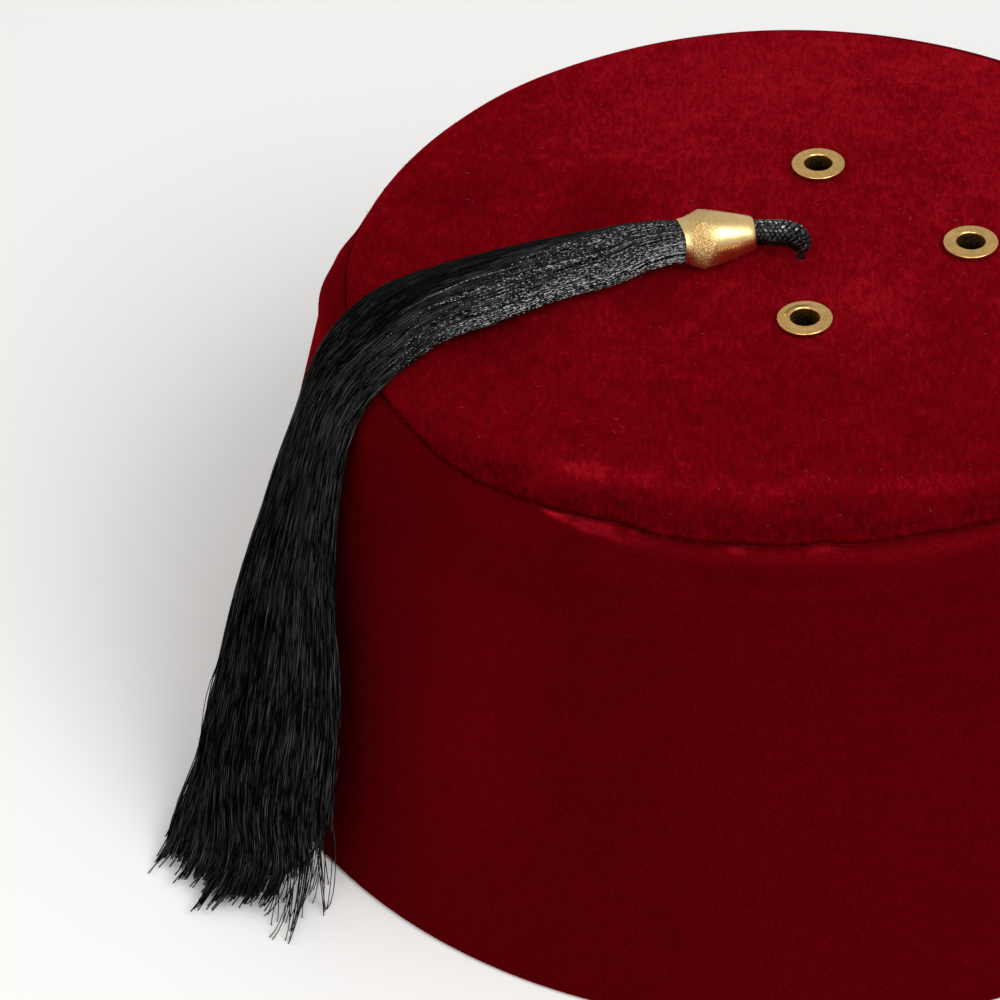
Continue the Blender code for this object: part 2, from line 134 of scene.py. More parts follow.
bpy.ops.object.select_all(action="DESELECT")
bpy.ops.mesh.primitive_plane_add(size=8.0, location=(0, 0, 0))
floor = bpy.context.object
floor.name = "pale_floor"
floor.data.materials.append(plain_material("pale_paper", FLOOR_TONE, 0.75))
add_soft_light("key_light", KEY_PLACE, KEY_SIZE, KEY_POWER)
add_soft_light("fill_light", FILL_PLACE, FILL_SIZE, FILL_POWER)
surroundings = bpy.data.worlds.new("even_white")
surroundings.use_nodes = True
surroundings.node_tree.nodes["Background"].inputs["Color"].default_value = BACKGROUND_TONE
surroundings.node_tree.nodes["Background"].inputs["Strength"].default_value = BACKGROUND_STRENGTH
bpy.context.scene.world = surroundings

# %% [markdown]
# ## Wiring a finish
# Every finish here is a Principled shader with a few textures in front of it. These small helpers
# add a node, join two sockets, and make a stretched noise, a weighted sum, a colour ramp or a
# stack of bumps, so that the cells for each finish can say only what is special about it.

# %% Helpers for finishes


def new_finish(name):
    material = bpy.data.materials.new(name)
    material.use_nodes = True
    return material, material.node_tree.nodes["Principled BSDF"]


def add_node(material, kind, **settings):
    node = material.node_tree.nodes.new(kind)
    for key, value in settings.items():
        setattr(node, key, value)
    return node


def join(material, out_socket, in_socket):
    material.node_tree.links.new(out_socket, in_socket)


def coordinates(material, kind):
    return add_node(material, "ShaderNodeTexCoord").outputs[kind]


def point_value(material, name):
    """A value that the mesh holds for each of its points."""
    return add_node(material, "ShaderNodeAttribute", attribute_name=name).outputs["Fac"]


def set_sockets(shader, **values):
    """Sets sockets by name, with each space in a name written as an underscore."""
    for name, value in values.items():
        shader.inputs[name.replace("_", " ")].default_value = value


def stretched_noise(material, source, scale, detail=3.0, roughness=0.55, stretch=(1, 1, 1)):
    """Noise on the given coordinates, finer or coarser along each axis by stretch."""
    mapping = add_node(material, "ShaderNodeMapping")
    mapping.inputs["Scale"].default_value = stretch
    join(material, source, mapping.inputs["Vector"])
    texture = add_node(material, "ShaderNodeTexNoise")
    set_sockets(texture, Scale=scale, Detail=detail, Roughness=roughness)
    join(material, mapping.outputs["Vector"], texture.inputs["Vector"])
    return texture.outputs["Fac"]


def weighted(material, base, parts):
    """base plus each socket times its weight."""
    total = None
    for socket, weight in parts:
        step = add_node(material, "ShaderNodeMath", operation="MULTIPLY_ADD")
        join(material, socket, step.inputs[0])
        step.inputs[1].default_value = weight
        if total is None:
            step.inputs[2].default_value = base
        else:
            join(material, total, step.inputs[2])
        total = step.outputs[0]
    return total


def ramp(material, socket, stops):
    """Colours between stops of (place, colour)."""
    node = add_node(material, "ShaderNodeValToRGB")
    while len(node.color_ramp.elements) < len(stops):
        node.color_ramp.elements.new(0.5)
    for element, (place, colour) in zip(node.color_ramp.elements, stops):
        element.position = place
        element.color = (*colour, 1.0)
    join(material, socket, node.inputs["Fac"])
    return node.outputs["Color"]


def add_bump(material, shader, layers):
    """Bumps one after the other from (height socket, strength, depth in metres)."""
    last = None
    for socket, strength, depth in layers:
        bump = add_node(material, "ShaderNodeBump")
        set_sockets(bump, Strength=strength, Distance=depth)
        join(material, socket, bump.inputs["Height"])
        if last is not None:
            join(material, last, bump.inputs["Normal"])
        last = bump.outputs["Normal"]
    join(material, last, shader.inputs["Normal"])


print("finish helpers ready")

# %% [markdown]
# ## The velvet
# Velvet is a cloth with a short upright pile. Seen from above the pile it looks deep and dark,
# and seen along it the fibre tips catch the light, so its edges glow. Where the pile was touched
# it leans, which leaves soft lighter and darker marks a few millimetres wide, and close up the
# tufts make a fine grain. Real fibres over the whole hat would be far too many, so the shader's
# sheen gives the glow, slow noises give the leaning pile, and a fine one gives the grain.
# A vertex value paints light and shade into the colour at listed places: highlights on folds
# and a ridge, a sheen on the far left shoulder, shade in the seam's line and beside the tassel,
# and some stretches of pile made lighter or darker.

# %% Velvet finish
VELVET_DEEP = (0.050, 0.0002, 0.0012)
VELVET_BODY = (0.150, 0.0008, 0.0034)
VELVET_OPEN = (0.360, 0.0060, 0.0140)
# The top colour, reached where the pile is lightest and where highlights are painted.
VELVET_RUBBED_AND_HIGHLIT = (0.700, 0.0032, 0.0060)
VELVET_SHEEN_TINT = (0.90, 0.012, 0.030, 1.0)
PATCH_SCALE, PATCH_WEIGHT = 70.0, 0.225
LEAN_SCALE, LEAN_WEIGHT = 330.0, 0.275
STREAK_SCALE, STREAK_WEIGHT = 1300.0, 0.375
TUFT_SCALE, TUFT_WEIGHT = 2300.0, 0.30
PILE_AND_LIGHT_WEIGHT = 0.25


def velvet_finish(name, marks, grain_stretch, tone, strength):
    material, shader = new_finish(name)
    place = coordinates(material, "Object")
    patches = stretched_noise(material, place, PATCH_SCALE, detail=2.0)
    leaning = stretched_noise(
        material, place, LEAN_SCALE, detail=4.0, roughness=0.6, stretch=(1.0, 0.8, 1.0)
    )
    streaks = stretched_noise(material, place, STREAK_SCALE, detail=2.0, stretch=(1.0, 0.35, 0.5))
    tufts = stretched_noise(material, place, TUFT_SCALE, detail=2.0, stretch=grain_stretch)
    # Painted light and shade from a vertex value, added to the pile's own marks.
    pile_and_painted_light = point_value(material, "pile_and_painted_light")
    level = weighted(material, 0.5 * tone, [
        (patches, PATCH_WEIGHT * marks),
        (leaning, LEAN_WEIGHT * marks),
        (streaks, STREAK_WEIGHT * marks),
        (tufts, TUFT_WEIGHT),
        (pile_and_painted_light, PILE_AND_LIGHT_WEIGHT),
    ])
    stops = ((0.0, VELVET_DEEP), (0.25, VELVET_BODY), (0.5, VELVET_OPEN), (1.0, VELVET_RUBBED_AND_HIGHLIT))
    stops = [(stop, tuple(strength * part for part in colour)) for stop, colour in stops]
    colour = ramp(material, level, stops)
    join(material, colour, shader.inputs["Base Color"])
    set_sockets(shader, Roughness=0.9, Specular_IOR_Level=0.0)
    set_sockets(shader, Sheen_Weight=0.35 * strength, Sheen_Roughness=0.35)
    set_sockets(shader, Sheen_Tint=VELVET_SHEEN_TINT)
    add_bump(material, shader, [(leaning, 0.25, 0.0005), (tufts, 0.5, 0.0002)])
    return material


tip_velvet = velvet_finish(
    "tip_velvet", marks=0.85, grain_stretch=(1.6, 0.7, 1.0), tone=-0.54, strength=0.86
)
band_velvet = velvet_finish(
    "band_velvet", marks=0.20, grain_stretch=(1.2, 1.2, 0.8), tone=-0.22, strength=0.60
)
print("velvets:", tip_velvet.name, band_velvet.name)

# %% [markdown]
# ## The hat's form
# The band and the tip are both turned forms, round the same axis, but sewing is never perfect:
# the seam wanders in by up to 3.4 mm towards the front, the shoulder is tucked in on the far
# left, and the cloth puckers just under the seam. Short tables hold those departures by azimuth,
# in degrees round the hat, as shares of a named size, much as the imported model has them. One
# more table says how much shade is painted into the line of the seam.

# %% Sizes and tables of the hat's form
RIM_RADIUS = (band_high.x - band_low.x) / 2
SEAM_RADIUS = 0.0717
SHOULDER_RADIUS = 0.0768
SHOULDER_DROP = 0.0069
TIP_CROWN = 0.0006
HAT_HEIGHT = tip_high.z - TIP_CROWN
SHOULDER_HEIGHT = HAT_HEIGHT - SHOULDER_DROP
BAND_WALL = 0.0028
TIP_THICKNESS = 0.0024
TIP_EDGE_ROUND = 0.0016
SEAM_GROOVE = 0.0012
SEAM_INSET = 0.0026
PUCKER_HEIGHT = 0.0013
ALLOWANCE_REACH = 0.0035
ALLOWANCE_THICKNESS = 0.0015
RIM_ROLL = 0.0009
RIM_FLAT = 0.0012
GAP = 0.0003

SEAM_ROWS = (
    # azimuth, inset
    (-160, 0.25), (-146, 0.35), (-136, 0.10), (-131, 0.15), (-125, 0.50), (-121, 0.70),
    (-116, 1.05), (-111, 1.30), (-106, 1.00), (-101, 0.95), (-96, 1.05), (-90, 1.00),
    (-85, 1.20), (-79, 0.85), (-73, 0.90), (-66, 0.55), (-58, 0.15), (-40, 0.00),
    (60, 0.00), (150, 0.10), (176, 0.00),
)
SHOULDER_ROWS = (
    # azimuth, stand out
    (-178, 0.95), (-166, 1.00), (90, 1.00), (125, 0.70), (150, 0.35), (168, 0.35), (174, 0.75),
)
SEAM_SHADE_ROWS = (
    # azimuth, how much shade is painted into the seam's line
    (-175, 0.5), (-150, 0.8), (-128, 1.0), (-98, 1.0), (-82, 0.7), (-50, 0.5), (0, 0.2), (170, 0.1),
)
PUCKER_ROWS = (
    # azimuth, half width, bulge
    (-113, 6, 1.00), (-101, 5, -0.45), (-91, 5, 0.35), (-80, 6, 0.40), (-138, 6, -0.30),
    (180, 7, 0.35), (159, 14, -0.60),
)


def smooth_between(share):
    share = max(0.0, min(1.0, share))
    return share * share * (3 - 2 * share)


def bump_between(away):
    """A soft bump that is 1 at 0 and 0 from 1 on."""
    return smooth_between(1 - abs(away))


def angle_between(first, second):
    """The signed angle in degrees from the first azimuth to the second."""
    return (second - first + 180) % 360 - 180


def table_value(rows, azimuth):
    """The second column of a table round the hat, read smoothly between its azimuths."""
    rows = sorted(rows)
    rows = rows + [(rows[0][0] + 360, rows[0][1])]
    place = (azimuth - rows[0][0]) % 360 + rows[0][0]
    for (low, low_value), (high, high_value) in zip(rows, rows[1:]):
        if place <= high:
            share = smooth_between((place - low) / (high - low))
            return low_value + (high_value - low_value) * share
    return rows[-1][1]


def seam_radius(azimuth):
    return SEAM_RADIUS - SEAM_INSET * table_value(SEAM_ROWS, azimuth)


def pucker(azimuth):
    """How far the band stands out under the seam at an azimuth."""
    total = 0.0
    for middle, half_width, bulge in PUCKER_ROWS:
        total += bulge * PUCKER_HEIGHT * bump_between(angle_between(middle, azimuth) / half_width)
    return total


def shoulder_radius(azimuth):
    return SEAM_RADIUS + (SHOULDER_RADIUS - SEAM_RADIUS) * table_value(SHOULDER_ROWS, azimuth)


def shoulder_point(share, azimuth):
    """(radius, height) on the rounded shoulder, from the seam at 0 to the wall at 1."""
    inner = seam_radius(azimuth)
    turn = share * math.pi / 2
    rise = SHOULDER_DROP - SEAM_GROOVE
    bulge = pucker(azimuth) * math.sin(math.pi * share)
    radius = inner + (shoulder_radius(azimuth) - inner + bulge) * math.sin(turn)
    height = SHOULDER_HEIGHT + (rise + bulge) * math.cos(turn)
    return radius, height


def wall_point(share, azimuth):
    """(radius, height) on the outside of the wall, from the shoulder at 0 to the rim at 1."""
    top = shoulder_radius(azimuth)
    radius = top + (RIM_RADIUS - top) * share
    height = SHOULDER_HEIGHT + (RIM_ROLL - SHOULDER_HEIGHT) * share
    return radius, height


def tip_top(radius):
    """Height of the tip's velvet at a distance from the hat's axis."""
    return HAT_HEIGHT + TIP_CROWN * (1 - (radius / SEAM_RADIUS) ** 2)


print("rim mm:", round(RIM_RADIUS * 2000, 1), "height mm:", round(HAT_HEIGHT * 1000, 1))

# %% [markdown]
# ## Turning a form
# A band, an eyelet and a cap are all outlines turned round an axis. One could spin a drawn
# outline, but it is easier to follow with rings: a circle is the first point of the outline, and
# each further point is one extrude of that ring, moved up or down and resized to its radius. The
# last ring is bridged to the first where the outline is closed.

# %% Helper that turns an outline from a circle


def select_boundary(piece):
    """Selects the open edges of a piece in edit mode."""
    work = bmesh.from_edit_mesh(piece.data)
    for part in (*work.verts, *work.edges, *work.faces):
        part.select = False
    for edge in work.edges:
        if edge.is_boundary:
            edge.select_set(True)
    bmesh.update_edit_mesh(piece.data)


def turned_piece(name, outline, sides, closed=True):
    """Rings through an outline of (radius, height), from one circle by extrude and resize."""
    bpy.ops.object.select_all(action="DESELECT")
    radius, height = outline[0]
    bpy.ops.mesh.primitive_circle_add(vertices=sides, radius=radius, location=(0, 0, 0))
    piece = bpy.context.object
    piece.name = name
    piece.data.name = name
    bpy.ops.object.mode_set(mode="EDIT")
    bpy.ops.mesh.select_all(action="SELECT")
    bpy.ops.transform.translate(value=(0, 0, height))
    for next_radius, next_height in outline[1:]:
        rise = (0, 0, next_height - height)
        bpy.ops.mesh.extrude_edges_move(TRANSFORM_OT_translate={"value": rise})
        ratio = next_radius / radius
        bpy.ops.transform.resize(value=(ratio, ratio, 1), center_override=(0, 0, next_height))
        radius, height = next_radius, next_height
    if closed:
        select_boundary(piece)
        bpy.ops.mesh.bridge_edge_loops()
    bpy.ops.mesh.select_all(action="SELECT")
    bpy.ops.mesh.normals_make_consistent(inside=False)
    bpy.ops.object.mode_set(mode="OBJECT")
    return piece


def settle(piece, matrix):
    """Puts a finished piece in its place in the mesh itself, so its object stays at the origin."""
    piece.data.transform(matrix)
    piece.data.update()
    bpy.ops.object.select_all(action="DESELECT")
    piece.select_set(True)
    bpy.context.view_layer.objects.active = piece
    bpy.ops.object.shade_smooth()


def dress(piece, material, slot, *nodes):
    """Gives a piece its finish, attaches it to the root and hides the imported parts it replaces."""
    piece.data.materials.clear()
    piece.data.materials.append(material)
    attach(piece, "root")
    if nodes:
        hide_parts(*nodes)


print("turning helper ready")

# %% [markdown]
# ## The band
# The side band is one strip of velvet glued to a stiff backing, flared towards a rolled rim, and
# turned in over its top edge to be sewn under the tip. It is turned from an even outline first.
# Then every point is moved to where the tables put it at its own azimuth, and shallow folds are
# pressed in below the seam, where the cloth was eased round the curve. That keeps the rings in
# order and gives a wall that is smooth low down and lively near the seam.

# %% Outline and marks of the band
BAND_SIDES = 360
ALLOWANCE_STATIONS = 2
SHOULDER_STEPS = 16
WALL_STEPS = 26
RIM_STEPS = 6
EVEN_AZIMUTH = 20.0
FOLD_ROWS = (
    # azimuth, half width in degrees, millimetres below the seam, half height, depth
    (-88, 15, 7.6, 1.6, 0.35),
    (-118, 12, 9.5, 2.2, 0.30),
    (-62, 12, 8.8, 2.2, 0.18),
    (-131, 7, 5.5, 2.0, 0.35),
    (-100, 7, 12.0, 2.4, 0.15),
)
# Painted light and shade on the band: a sheen on the far left shoulder, two darker bands under the
# front seam, the tassel's shadow on the wall beside it, and one lighter stretch further front.
BAND_PILE_AND_LIGHT_ROWS = (
    # azimuth, half width, height above the rim plane mm, half height, amount
    (165, 60, 72.5, 10.0, 0.80),
    (-93, 13, 75.1, 1.3, -0.16),
    (-122, 12, 66.5, 3.5, -0.15),
    (-126, 14, 40.0, 55.0, 0.26),
    (-146, 8, 40.0, 55.0, -0.25),
)
# Painted highlights on the small folds right under the seam and on a front-lit stretch below them.
SEAM_FOLD_HIGHLIGHT_ROWS = (
    # azimuth, half width, share of the shoulder below the seam, half width in it, amount
    (-95.6, 2.0, 0.09, 0.09, 1.2),
    (-85.0, 2.9, 0.09, 0.09, 1.1),
    (-93.0, 21.0, 0.18, 0.22, 0.60),
    (-70.0, 24.0, 0.24, 0.28, 0.62),
)
WEDGE_LEFT = -121.8
WEDGE_RIGHT = -103.0
WEDGE_REACH = 0.34
WEDGE_HIGHLIGHT = 1.9
SEAM_SHADE = 0.06


def band_outline(azimuth):
    """The band's closed outline at one azimuth: allowance, shoulder, wall, rolled rim, inside."""
    seam = seam_radius(azimuth)
    under_tip = HAT_HEIGHT - TIP_THICKNESS - GAP
    outline = [(seam - ALLOWANCE_REACH, under_tip), (seam - 0.3 * GAP, under_tip)]
    for step in range(SHOULDER_STEPS + 1):
        outline.append(shoulder_point(step / SHOULDER_STEPS, azimuth))
    for step in range(1, WALL_STEPS + 1):
        outline.append(wall_point(step / WALL_STEPS, azimuth))
    for step in range(1, RIM_STEPS + 1):
        turn = step / RIM_STEPS * math.pi / 2
        outline.append((
            RIM_RADIUS - RIM_ROLL + RIM_ROLL * math.cos(turn),
            RIM_ROLL - RIM_ROLL * math.sin(turn),
        ))
    outline.append((RIM_RADIUS - RIM_ROLL - RIM_FLAT, 0.0))
    outline.append((RIM_RADIUS - BAND_WALL, RIM_ROLL))
    for share in (0.75, 0.5, 0.25, 0.0):
        radius, height = wall_point(share, azimuth)
        outline.append((radius - BAND_WALL, height))
    outline.append((seam - ALLOWANCE_REACH, under_tip - ALLOWANCE_THICKNESS))
    return outline


def marks_at(rows, azimuth, level):
    """The sum of a table's soft marks: middle azimuth, half width, level, half height, amount."""
    total = 0.0
    for middle, half_width, middle_level, half_height, amount in rows:
        around = bump_between(angle_between(middle, azimuth) / half_width)
        total += amount * around * bump_between((level - middle_level) / half_height)
    return total


def cloth_wave(azimuth, height):
    """Small slow waves of the velvet on its backing, in metres."""
    turn = math.radians(azimuth)
    where = Vector((2.4 * math.cos(turn), 2.4 * math.sin(turn), height * 30))
    return 0.00022 * noise.noise(where) + 0.00008 * noise.noise(where * 3.1)


def mark_points(piece, name, values):
    """Stores one number for each point, for the finish to read."""
    attribute = piece.data.attributes.new(name, "FLOAT", "POINT")
    attribute.data.foreach_set("value", np.asarray(values, dtype=np.float32))


def seam_light_and_shade(azimuth, share):
    """Painted highlights on the small folds and the wedge under the seam, and painted shade in its
    line.
    """
    # Painted shade in the seam's line.
    total = -0.5 * table_value(SEAM_SHADE_ROWS, azimuth) * bump_between(share / SEAM_SHADE)
    total += marks_at(SEAM_FOLD_HIGHLIGHT_ROWS, azimuth, share)
    # Painted highlight: a streaky bright wedge on the pucker just under the seam.
    along = (azimuth - WEDGE_LEFT) / (WEDGE_RIGHT - WEDGE_LEFT)
    if 0.0 < along < 1.0:
        reach = WEDGE_REACH * min(1.0, 0.35 + 1.5 * along)
        inside = smooth_between((share - 0.015) / 0.03) * smooth_between((reach - share) / 0.10)
        streak = 1.0 + 0.9 * noise.noise(Vector((azimuth * 0.45, share * 22, 5.0)))
        fade = smooth_between(along / 0.08) * (1 - along) ** 1.1
        total += WEDGE_HIGHLIGHT * streak * inside * fade
    return total


def at_stations(piece, even_outline, outline_at):
    """Each point of a turned piece, its azimuth and station, and the outline's place for it."""
    outlines = {}
    for vertex in piece.data.vertices:
        radius = math.hypot(vertex.co.x, vertex.co.y)
        azimuth = round(math.degrees(math.atan2(vertex.co.y, vertex.co.x)), 3)
        away = np.hypot(even_outline[:, 0] - radius, even_outline[:, 1] - vertex.co.z)
        station = int(np.argmin(away))
        if azimuth not in outlines:
            outlines[azimuth] = outline_at(azimuth)
        yield vertex, azimuth, station, outlines[azimuth][station]


print("marks and stations ready")

# %% Band
even_outline = np.array(band_outline(EVEN_AZIMUTH))
band = turned_piece("velvet_band", [tuple(point) for point in even_outline], BAND_SIDES)
seam_station = ALLOWANCE_STATIONS
wall_station = seam_station + SHOULDER_STEPS
rim_station = wall_station + WALL_STEPS
brushed_values = []
for vertex, azimuth, station, (radius, height) in at_stations(band, even_outline, band_outline):
    pile_and_painted_light = 0.0
    if seam_station <= station <= rim_station:
        below = (HAT_HEIGHT - height) * 1000
        fade = smooth_between(below / 4) * smooth_between(height / 0.004)
        radius += fade * cloth_wave(azimuth, height) - 0.001 * marks_at(FOLD_ROWS, azimuth, below)
        # Painted light and shade on the band at the listed places.
        pile_and_painted_light = marks_at(BAND_PILE_AND_LIGHT_ROWS, azimuth, height * 1000)
    if seam_station <= station <= wall_station:
        # Painted shade in the seam's line and painted highlights on the folds under it.
        pile_and_painted_light += seam_light_and_shade(azimuth, (station - seam_station) / SHOULDER_STEPS)
    turn = math.radians(azimuth)
    vertex.co = (radius * math.cos(turn), radius * math.sin(turn), height)
    brushed_values.append(pile_and_painted_light)
mark_points(band, "pile_and_painted_light", brushed_values)
settle(band, Matrix.Translation(AXIS))
dress(band, band_velvet, "crimson_velvet", "side_band")
print("band faces:", len(band.data.polygons), "stations:", len(even_outline))

# %% [markdown]
# ## The tip
# The tip is a stiff disc covered with the same velvet, its edge rounded down into the seam, very
# slightly crowned, and pierced for the eyelets and the cord. It is turned from its edge inwards
# and closed at the middle, then moved to the wandering seam. The holes are cut last with round
# cutters, as a punch would, and the cloth dips a little round each eyelet that was pressed in.

# %% Outline of the tip
TIP_RINGS = 56
TIP_EDGE_STEPS = 8
EYELET_DIAMETER = 0.0090
EYELET_HOLE = 0.0047
EYELET_WALL = 0.0004
EYELET_SHIFTS = (0.0004, 0.0004, 0.0004, -0.0004)
CORD_DIAMETER = 0.0044
CORD_PINCH = 0.0007
PRESS_DEPTH = 0.00028
PRESS_REACH = 0.0070
CORD_PRESS_REACH = 0.0025
PUNCH_SIDES = 48
PUNCH_DEPTH = 0.02


def node_middle(node):
    low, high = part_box(node)
    return (low + high) / 2 - AXIS


eyelet_middles = [
    node_middle(f"eyelet_{number}") + Vector((0, shift, 0))
    for number, shift in enumerate(EYELET_SHIFTS, start=1)
]
CORD_HOLE = Vector((0.031 * SEAM_RADIUS, 0.041 * SEAM_RADIUS, 0))
CORD_FOOT = CORD_HOLE + Vector((0.0007, -0.0009, 0))


def tip_outline(azimuth):
    """From the tip's lower edge up, round its edge, and in towards the middle."""
    seam = seam_radius(azimuth) + 0.2 * GAP
    outline = [(seam, HAT_HEIGHT - TIP_THICKNESS)]
    for step in range(TIP_EDGE_STEPS + 1):
        turn = step / TIP_EDGE_STEPS * math.pi / 2
        radius = seam - TIP_EDGE_ROUND + TIP_EDGE_ROUND * math.cos(turn)
        outline.append((radius, tip_top(radius) - SEAM_GROOVE + SEAM_GROOVE * math.sin(turn)))
    last = outline[-1][0]
    for step in range(1, TIP_RINGS):
        radius = last * (1 - step / TIP_RINGS)
        outline.append((radius, tip_top(radius)))
    return outline


def tip_lift(x, y):
    """Small waves of the velvet on the tip and the dips round the eyelets, in metres."""
    total = 0.00016 * noise.noise(Vector((x * 55, y * 55, 3.0)))
    for middle in eyelet_middles:
        away = math.hypot(x - middle.x, y - middle.y)
        total -= PRESS_DEPTH * smooth_between(1 - (away - EYELET_DIAMETER / 2) / PRESS_REACH)
    away = math.hypot(x - CORD_FOOT.x, y - CORD_FOOT.y)
    total -= PRESS_DEPTH * smooth_between(1 - (away - CORD_PINCH) / CORD_PRESS_REACH)
    return total


print("tip outline points:", len(tip_outline(EVEN_AZIMUTH)))

# %% Tip
even_outline = np.array(tip_outline(EVEN_AZIMUTH))
tip = turned_piece("velvet_tip", [tuple(point) for point in even_outline], BAND_SIDES, closed=False)
bpy.ops.object.mode_set(mode="EDIT")
work = bmesh.from_edit_mesh(tip.data)
for loop_radius in (even_outline[0][0], even_outline[-1][0]):
    bpy.ops.mesh.select_all(action="DESELECT")
    for edge in work.edges:
        middle = (edge.verts[0].co + edge.verts[1].co) / 2
        if edge.is_boundary and abs(math.hypot(middle.x, middle.y) - loop_radius) < 0.0003:
            edge.select_set(True)
    bmesh.update_edit_mesh(tip.data)
    bpy.ops.mesh.edge_face_add()
bpy.ops.mesh.select_all(action="SELECT")
bpy.ops.mesh.normals_make_consistent(inside=False)
bpy.ops.object.mode_set(mode="OBJECT")
for vertex, azimuth, station, (radius, height) in at_stations(tip, even_outline, tip_outline):
    turn = math.radians(azimuth)
    x = radius * math.cos(turn)
    y = radius * math.sin(turn)
    lift = tip_lift(x, y) if station > TIP_EDGE_STEPS - 2 else 0.0
    vertex.co = (x, y, height + lift)


def punch(piece, x, y, radius):
    """Cuts one round hole through a piece and takes the cutter away."""
    bpy.ops.object.select_all(action="DESELECT")
    place = (x, y, HAT_HEIGHT - TIP_THICKNESS / 2)
    bpy.ops.mesh.primitive_cylinder_add(
        vertices=PUNCH_SIDES, radius=radius, depth=PUNCH_DEPTH, location=place
    )
    cutter = bpy.context.object
    cut = piece.modifiers.new("punch", "BOOLEAN")
    cut.operation = "DIFFERENCE"
    cut.object = cutter
    bpy.context.view_layer.objects.active = piece
    bpy.ops.object.modifier_apply(modifier=cut.name)
    bpy.data.objects.remove(cutter)


for middle in eyelet_middles:
    punch(tip, middle.x, middle.y, EYELET_HOLE / 2 + EYELET_WALL)
punch(tip, CORD_FOOT.x, CORD_FOOT.y, CORD_PINCH)
print("tip faces:", len(tip.data.polygons))

# %% Marks of the tip
# Lighter and darker spots on the tip. Those near the front seam add to the painted highlight on the
# ridge, and the darkest two lie beside the tassel.
TIP_PILE_AND_LIGHT_ROWS = (
    # x mm, y mm, reach mm, amount
    (-35, -53, 6, 0.14), (-29.5, -54.2, 6, 0.32), (-21.6, -56, 6, 0.24),
    (5.7, -57.0, 6, 0.12), (14, -57, 7, 0.08), (24, -58, 7, 0.08), (40, -50, 9, 0.10),
    (-45, -20, 12, -0.15), (-55, 22, 14, -0.20), (10, 52, 26, 0.10), (45, 30, 26, 0.05),
    (-20, 40, 18, 0.05), (5, -35, 14, -0.10), (40, -30, 16, 0.10), (-60, -30, 6, 0.20),
    (-43, -50, 7, -0.20), (-30, 17, 16, -0.42), (-20, -10, 9, -0.34), (16, -11, 12, 0.30),
)
FRONT_EDGE_SHADE_ROWS = (
    # azimuth, how much shade is painted along the seam inside the ridge
    (-150, 0.0), (-122, 1.0), (-55, 1.0), (-25, 0.0), (90, 0.0),
)
RIDGE_ROWS = (
    # azimuth, millimetres inside the seam
    (-140, 4.0), (-119, 7.5), (-110, 8.2), (-93, 9.4),
    (-84, 10.8), (-78, 10.6), (-68, 7.8), (-50, 4.0),
)
RIDGE_EDGE = 0.0015
RIDGE_BACK = 0.0020
RIDGE_REACH = 0.0032
RIDGE_HIGHLIGHT = 0.22


def tip_pile_and_light(x, y):
    """Lighter at the back, darker at front and left, plus spots and painted light and shade by the
    seam.
    """
    total = 0.23 * max(-0.9, min(1.1, y / 0.055)) - 0.24 * smooth_between((-0.020 - x) / 0.04)
    azimuth = math.degrees(math.atan2(y, x))
    # Painted shade along the front seam inside a ridge, and a painted highlight on the ridge.
    front = table_value(FRONT_EDGE_SHADE_ROWS, azimuth)
    ridge = 0.001 * table_value(RIDGE_ROWS, azimuth)
    inside = seam_radius(azimuth) - math.hypot(x, y)
    closed = 0.14 + 0.40 * max(0.0, 1 - inside / ridge)
    total -= front * closed * smooth_between((ridge - inside) / RIDGE_EDGE)
    total += RIDGE_HIGHLIGHT * front * bump_between((inside - ridge - RIDGE_BACK) / RIDGE_REACH)
    for middle_x, middle_y, reach, amount in TIP_PILE_AND_LIGHT_ROWS:
        away = math.hypot(x * 1000 - middle_x, y * 1000 - middle_y)
        total += amount * bump_between(away / reach)
    return total


tip_marks = []
for vertex in tip.data.vertices:
    # Painted shade: the velvet that dips into the seam's groove is darkened.
    sunk = smooth_between((HAT_HEIGHT - 0.0004 - vertex.co.z) / 0.0005)
    azimuth = math.degrees(math.atan2(vertex.co.y, vertex.co.x))
    shade = 0.4 * sunk * table_value(SEAM_SHADE_ROWS, azimuth)
    tip_marks.append(tip_pile_and_light(vertex.co.x, vertex.co.y) - shade)
mark_points(tip, "pile_and_painted_light", tip_marks)
settle(tip, Matrix.Translation(AXIS))
dress(tip, tip_velvet, "crimson_velvet", "tip")
print("tip marks:", len(tip_marks))

# %% [markdown]
# ## The eyelets
# Each vent is a pressed brass eyelet: a domed flange on the velvet, a barrel through the tip, and
# its lower end rolled back underneath. The brass has dulled and shows fine scratches, with a
# brighter inner edge where things rub. One outline is turned once and copied to four places.

# %% Brass finish
BRASS_DULL = (0.48, 0.29, 0.085)
BRASS_CLEAN = (0.95, 0.62, 0.23)


def brass_finish():
    material, shader = new_finish("dulled_brass")
    place = coordinates(material, "Object")
    clouds = stretched_noise(material, place, 900.0, detail=4.0, roughness=0.65)
    scratches = stretched_noise(material, place, 2600.0, detail=2.0, stretch=(0.25, 1.6, 1.0))
    level = weighted(material, -0.05, [(clouds, 0.75), (scratches, 0.35)])
    colour = ramp(material, level, [(0.2, BRASS_DULL), (0.8, BRASS_CLEAN)])
    join(material, colour, shader.inputs["Base Color"])
    set_sockets(shader, Metallic=1.0)
    rough = weighted(material, 0.14, [(clouds, 0.20), (scratches, 0.08)])
    join(material, rough, shader.inputs["Roughness"])
    add_bump(material, shader, [(clouds, 0.2, 0.00008), (scratches, 0.25, 0.00003)])
    return material


dulled_brass = brass_finish()
print("brass ready")

# %% Eyelets
EYELET_SIDES = 72
EYELET_RISE = 0.0009
EYELET_BACK_DIAMETER = 0.0080
EYELET_BACK_RISE = 0.0007
EYELET_REACH = 0.02


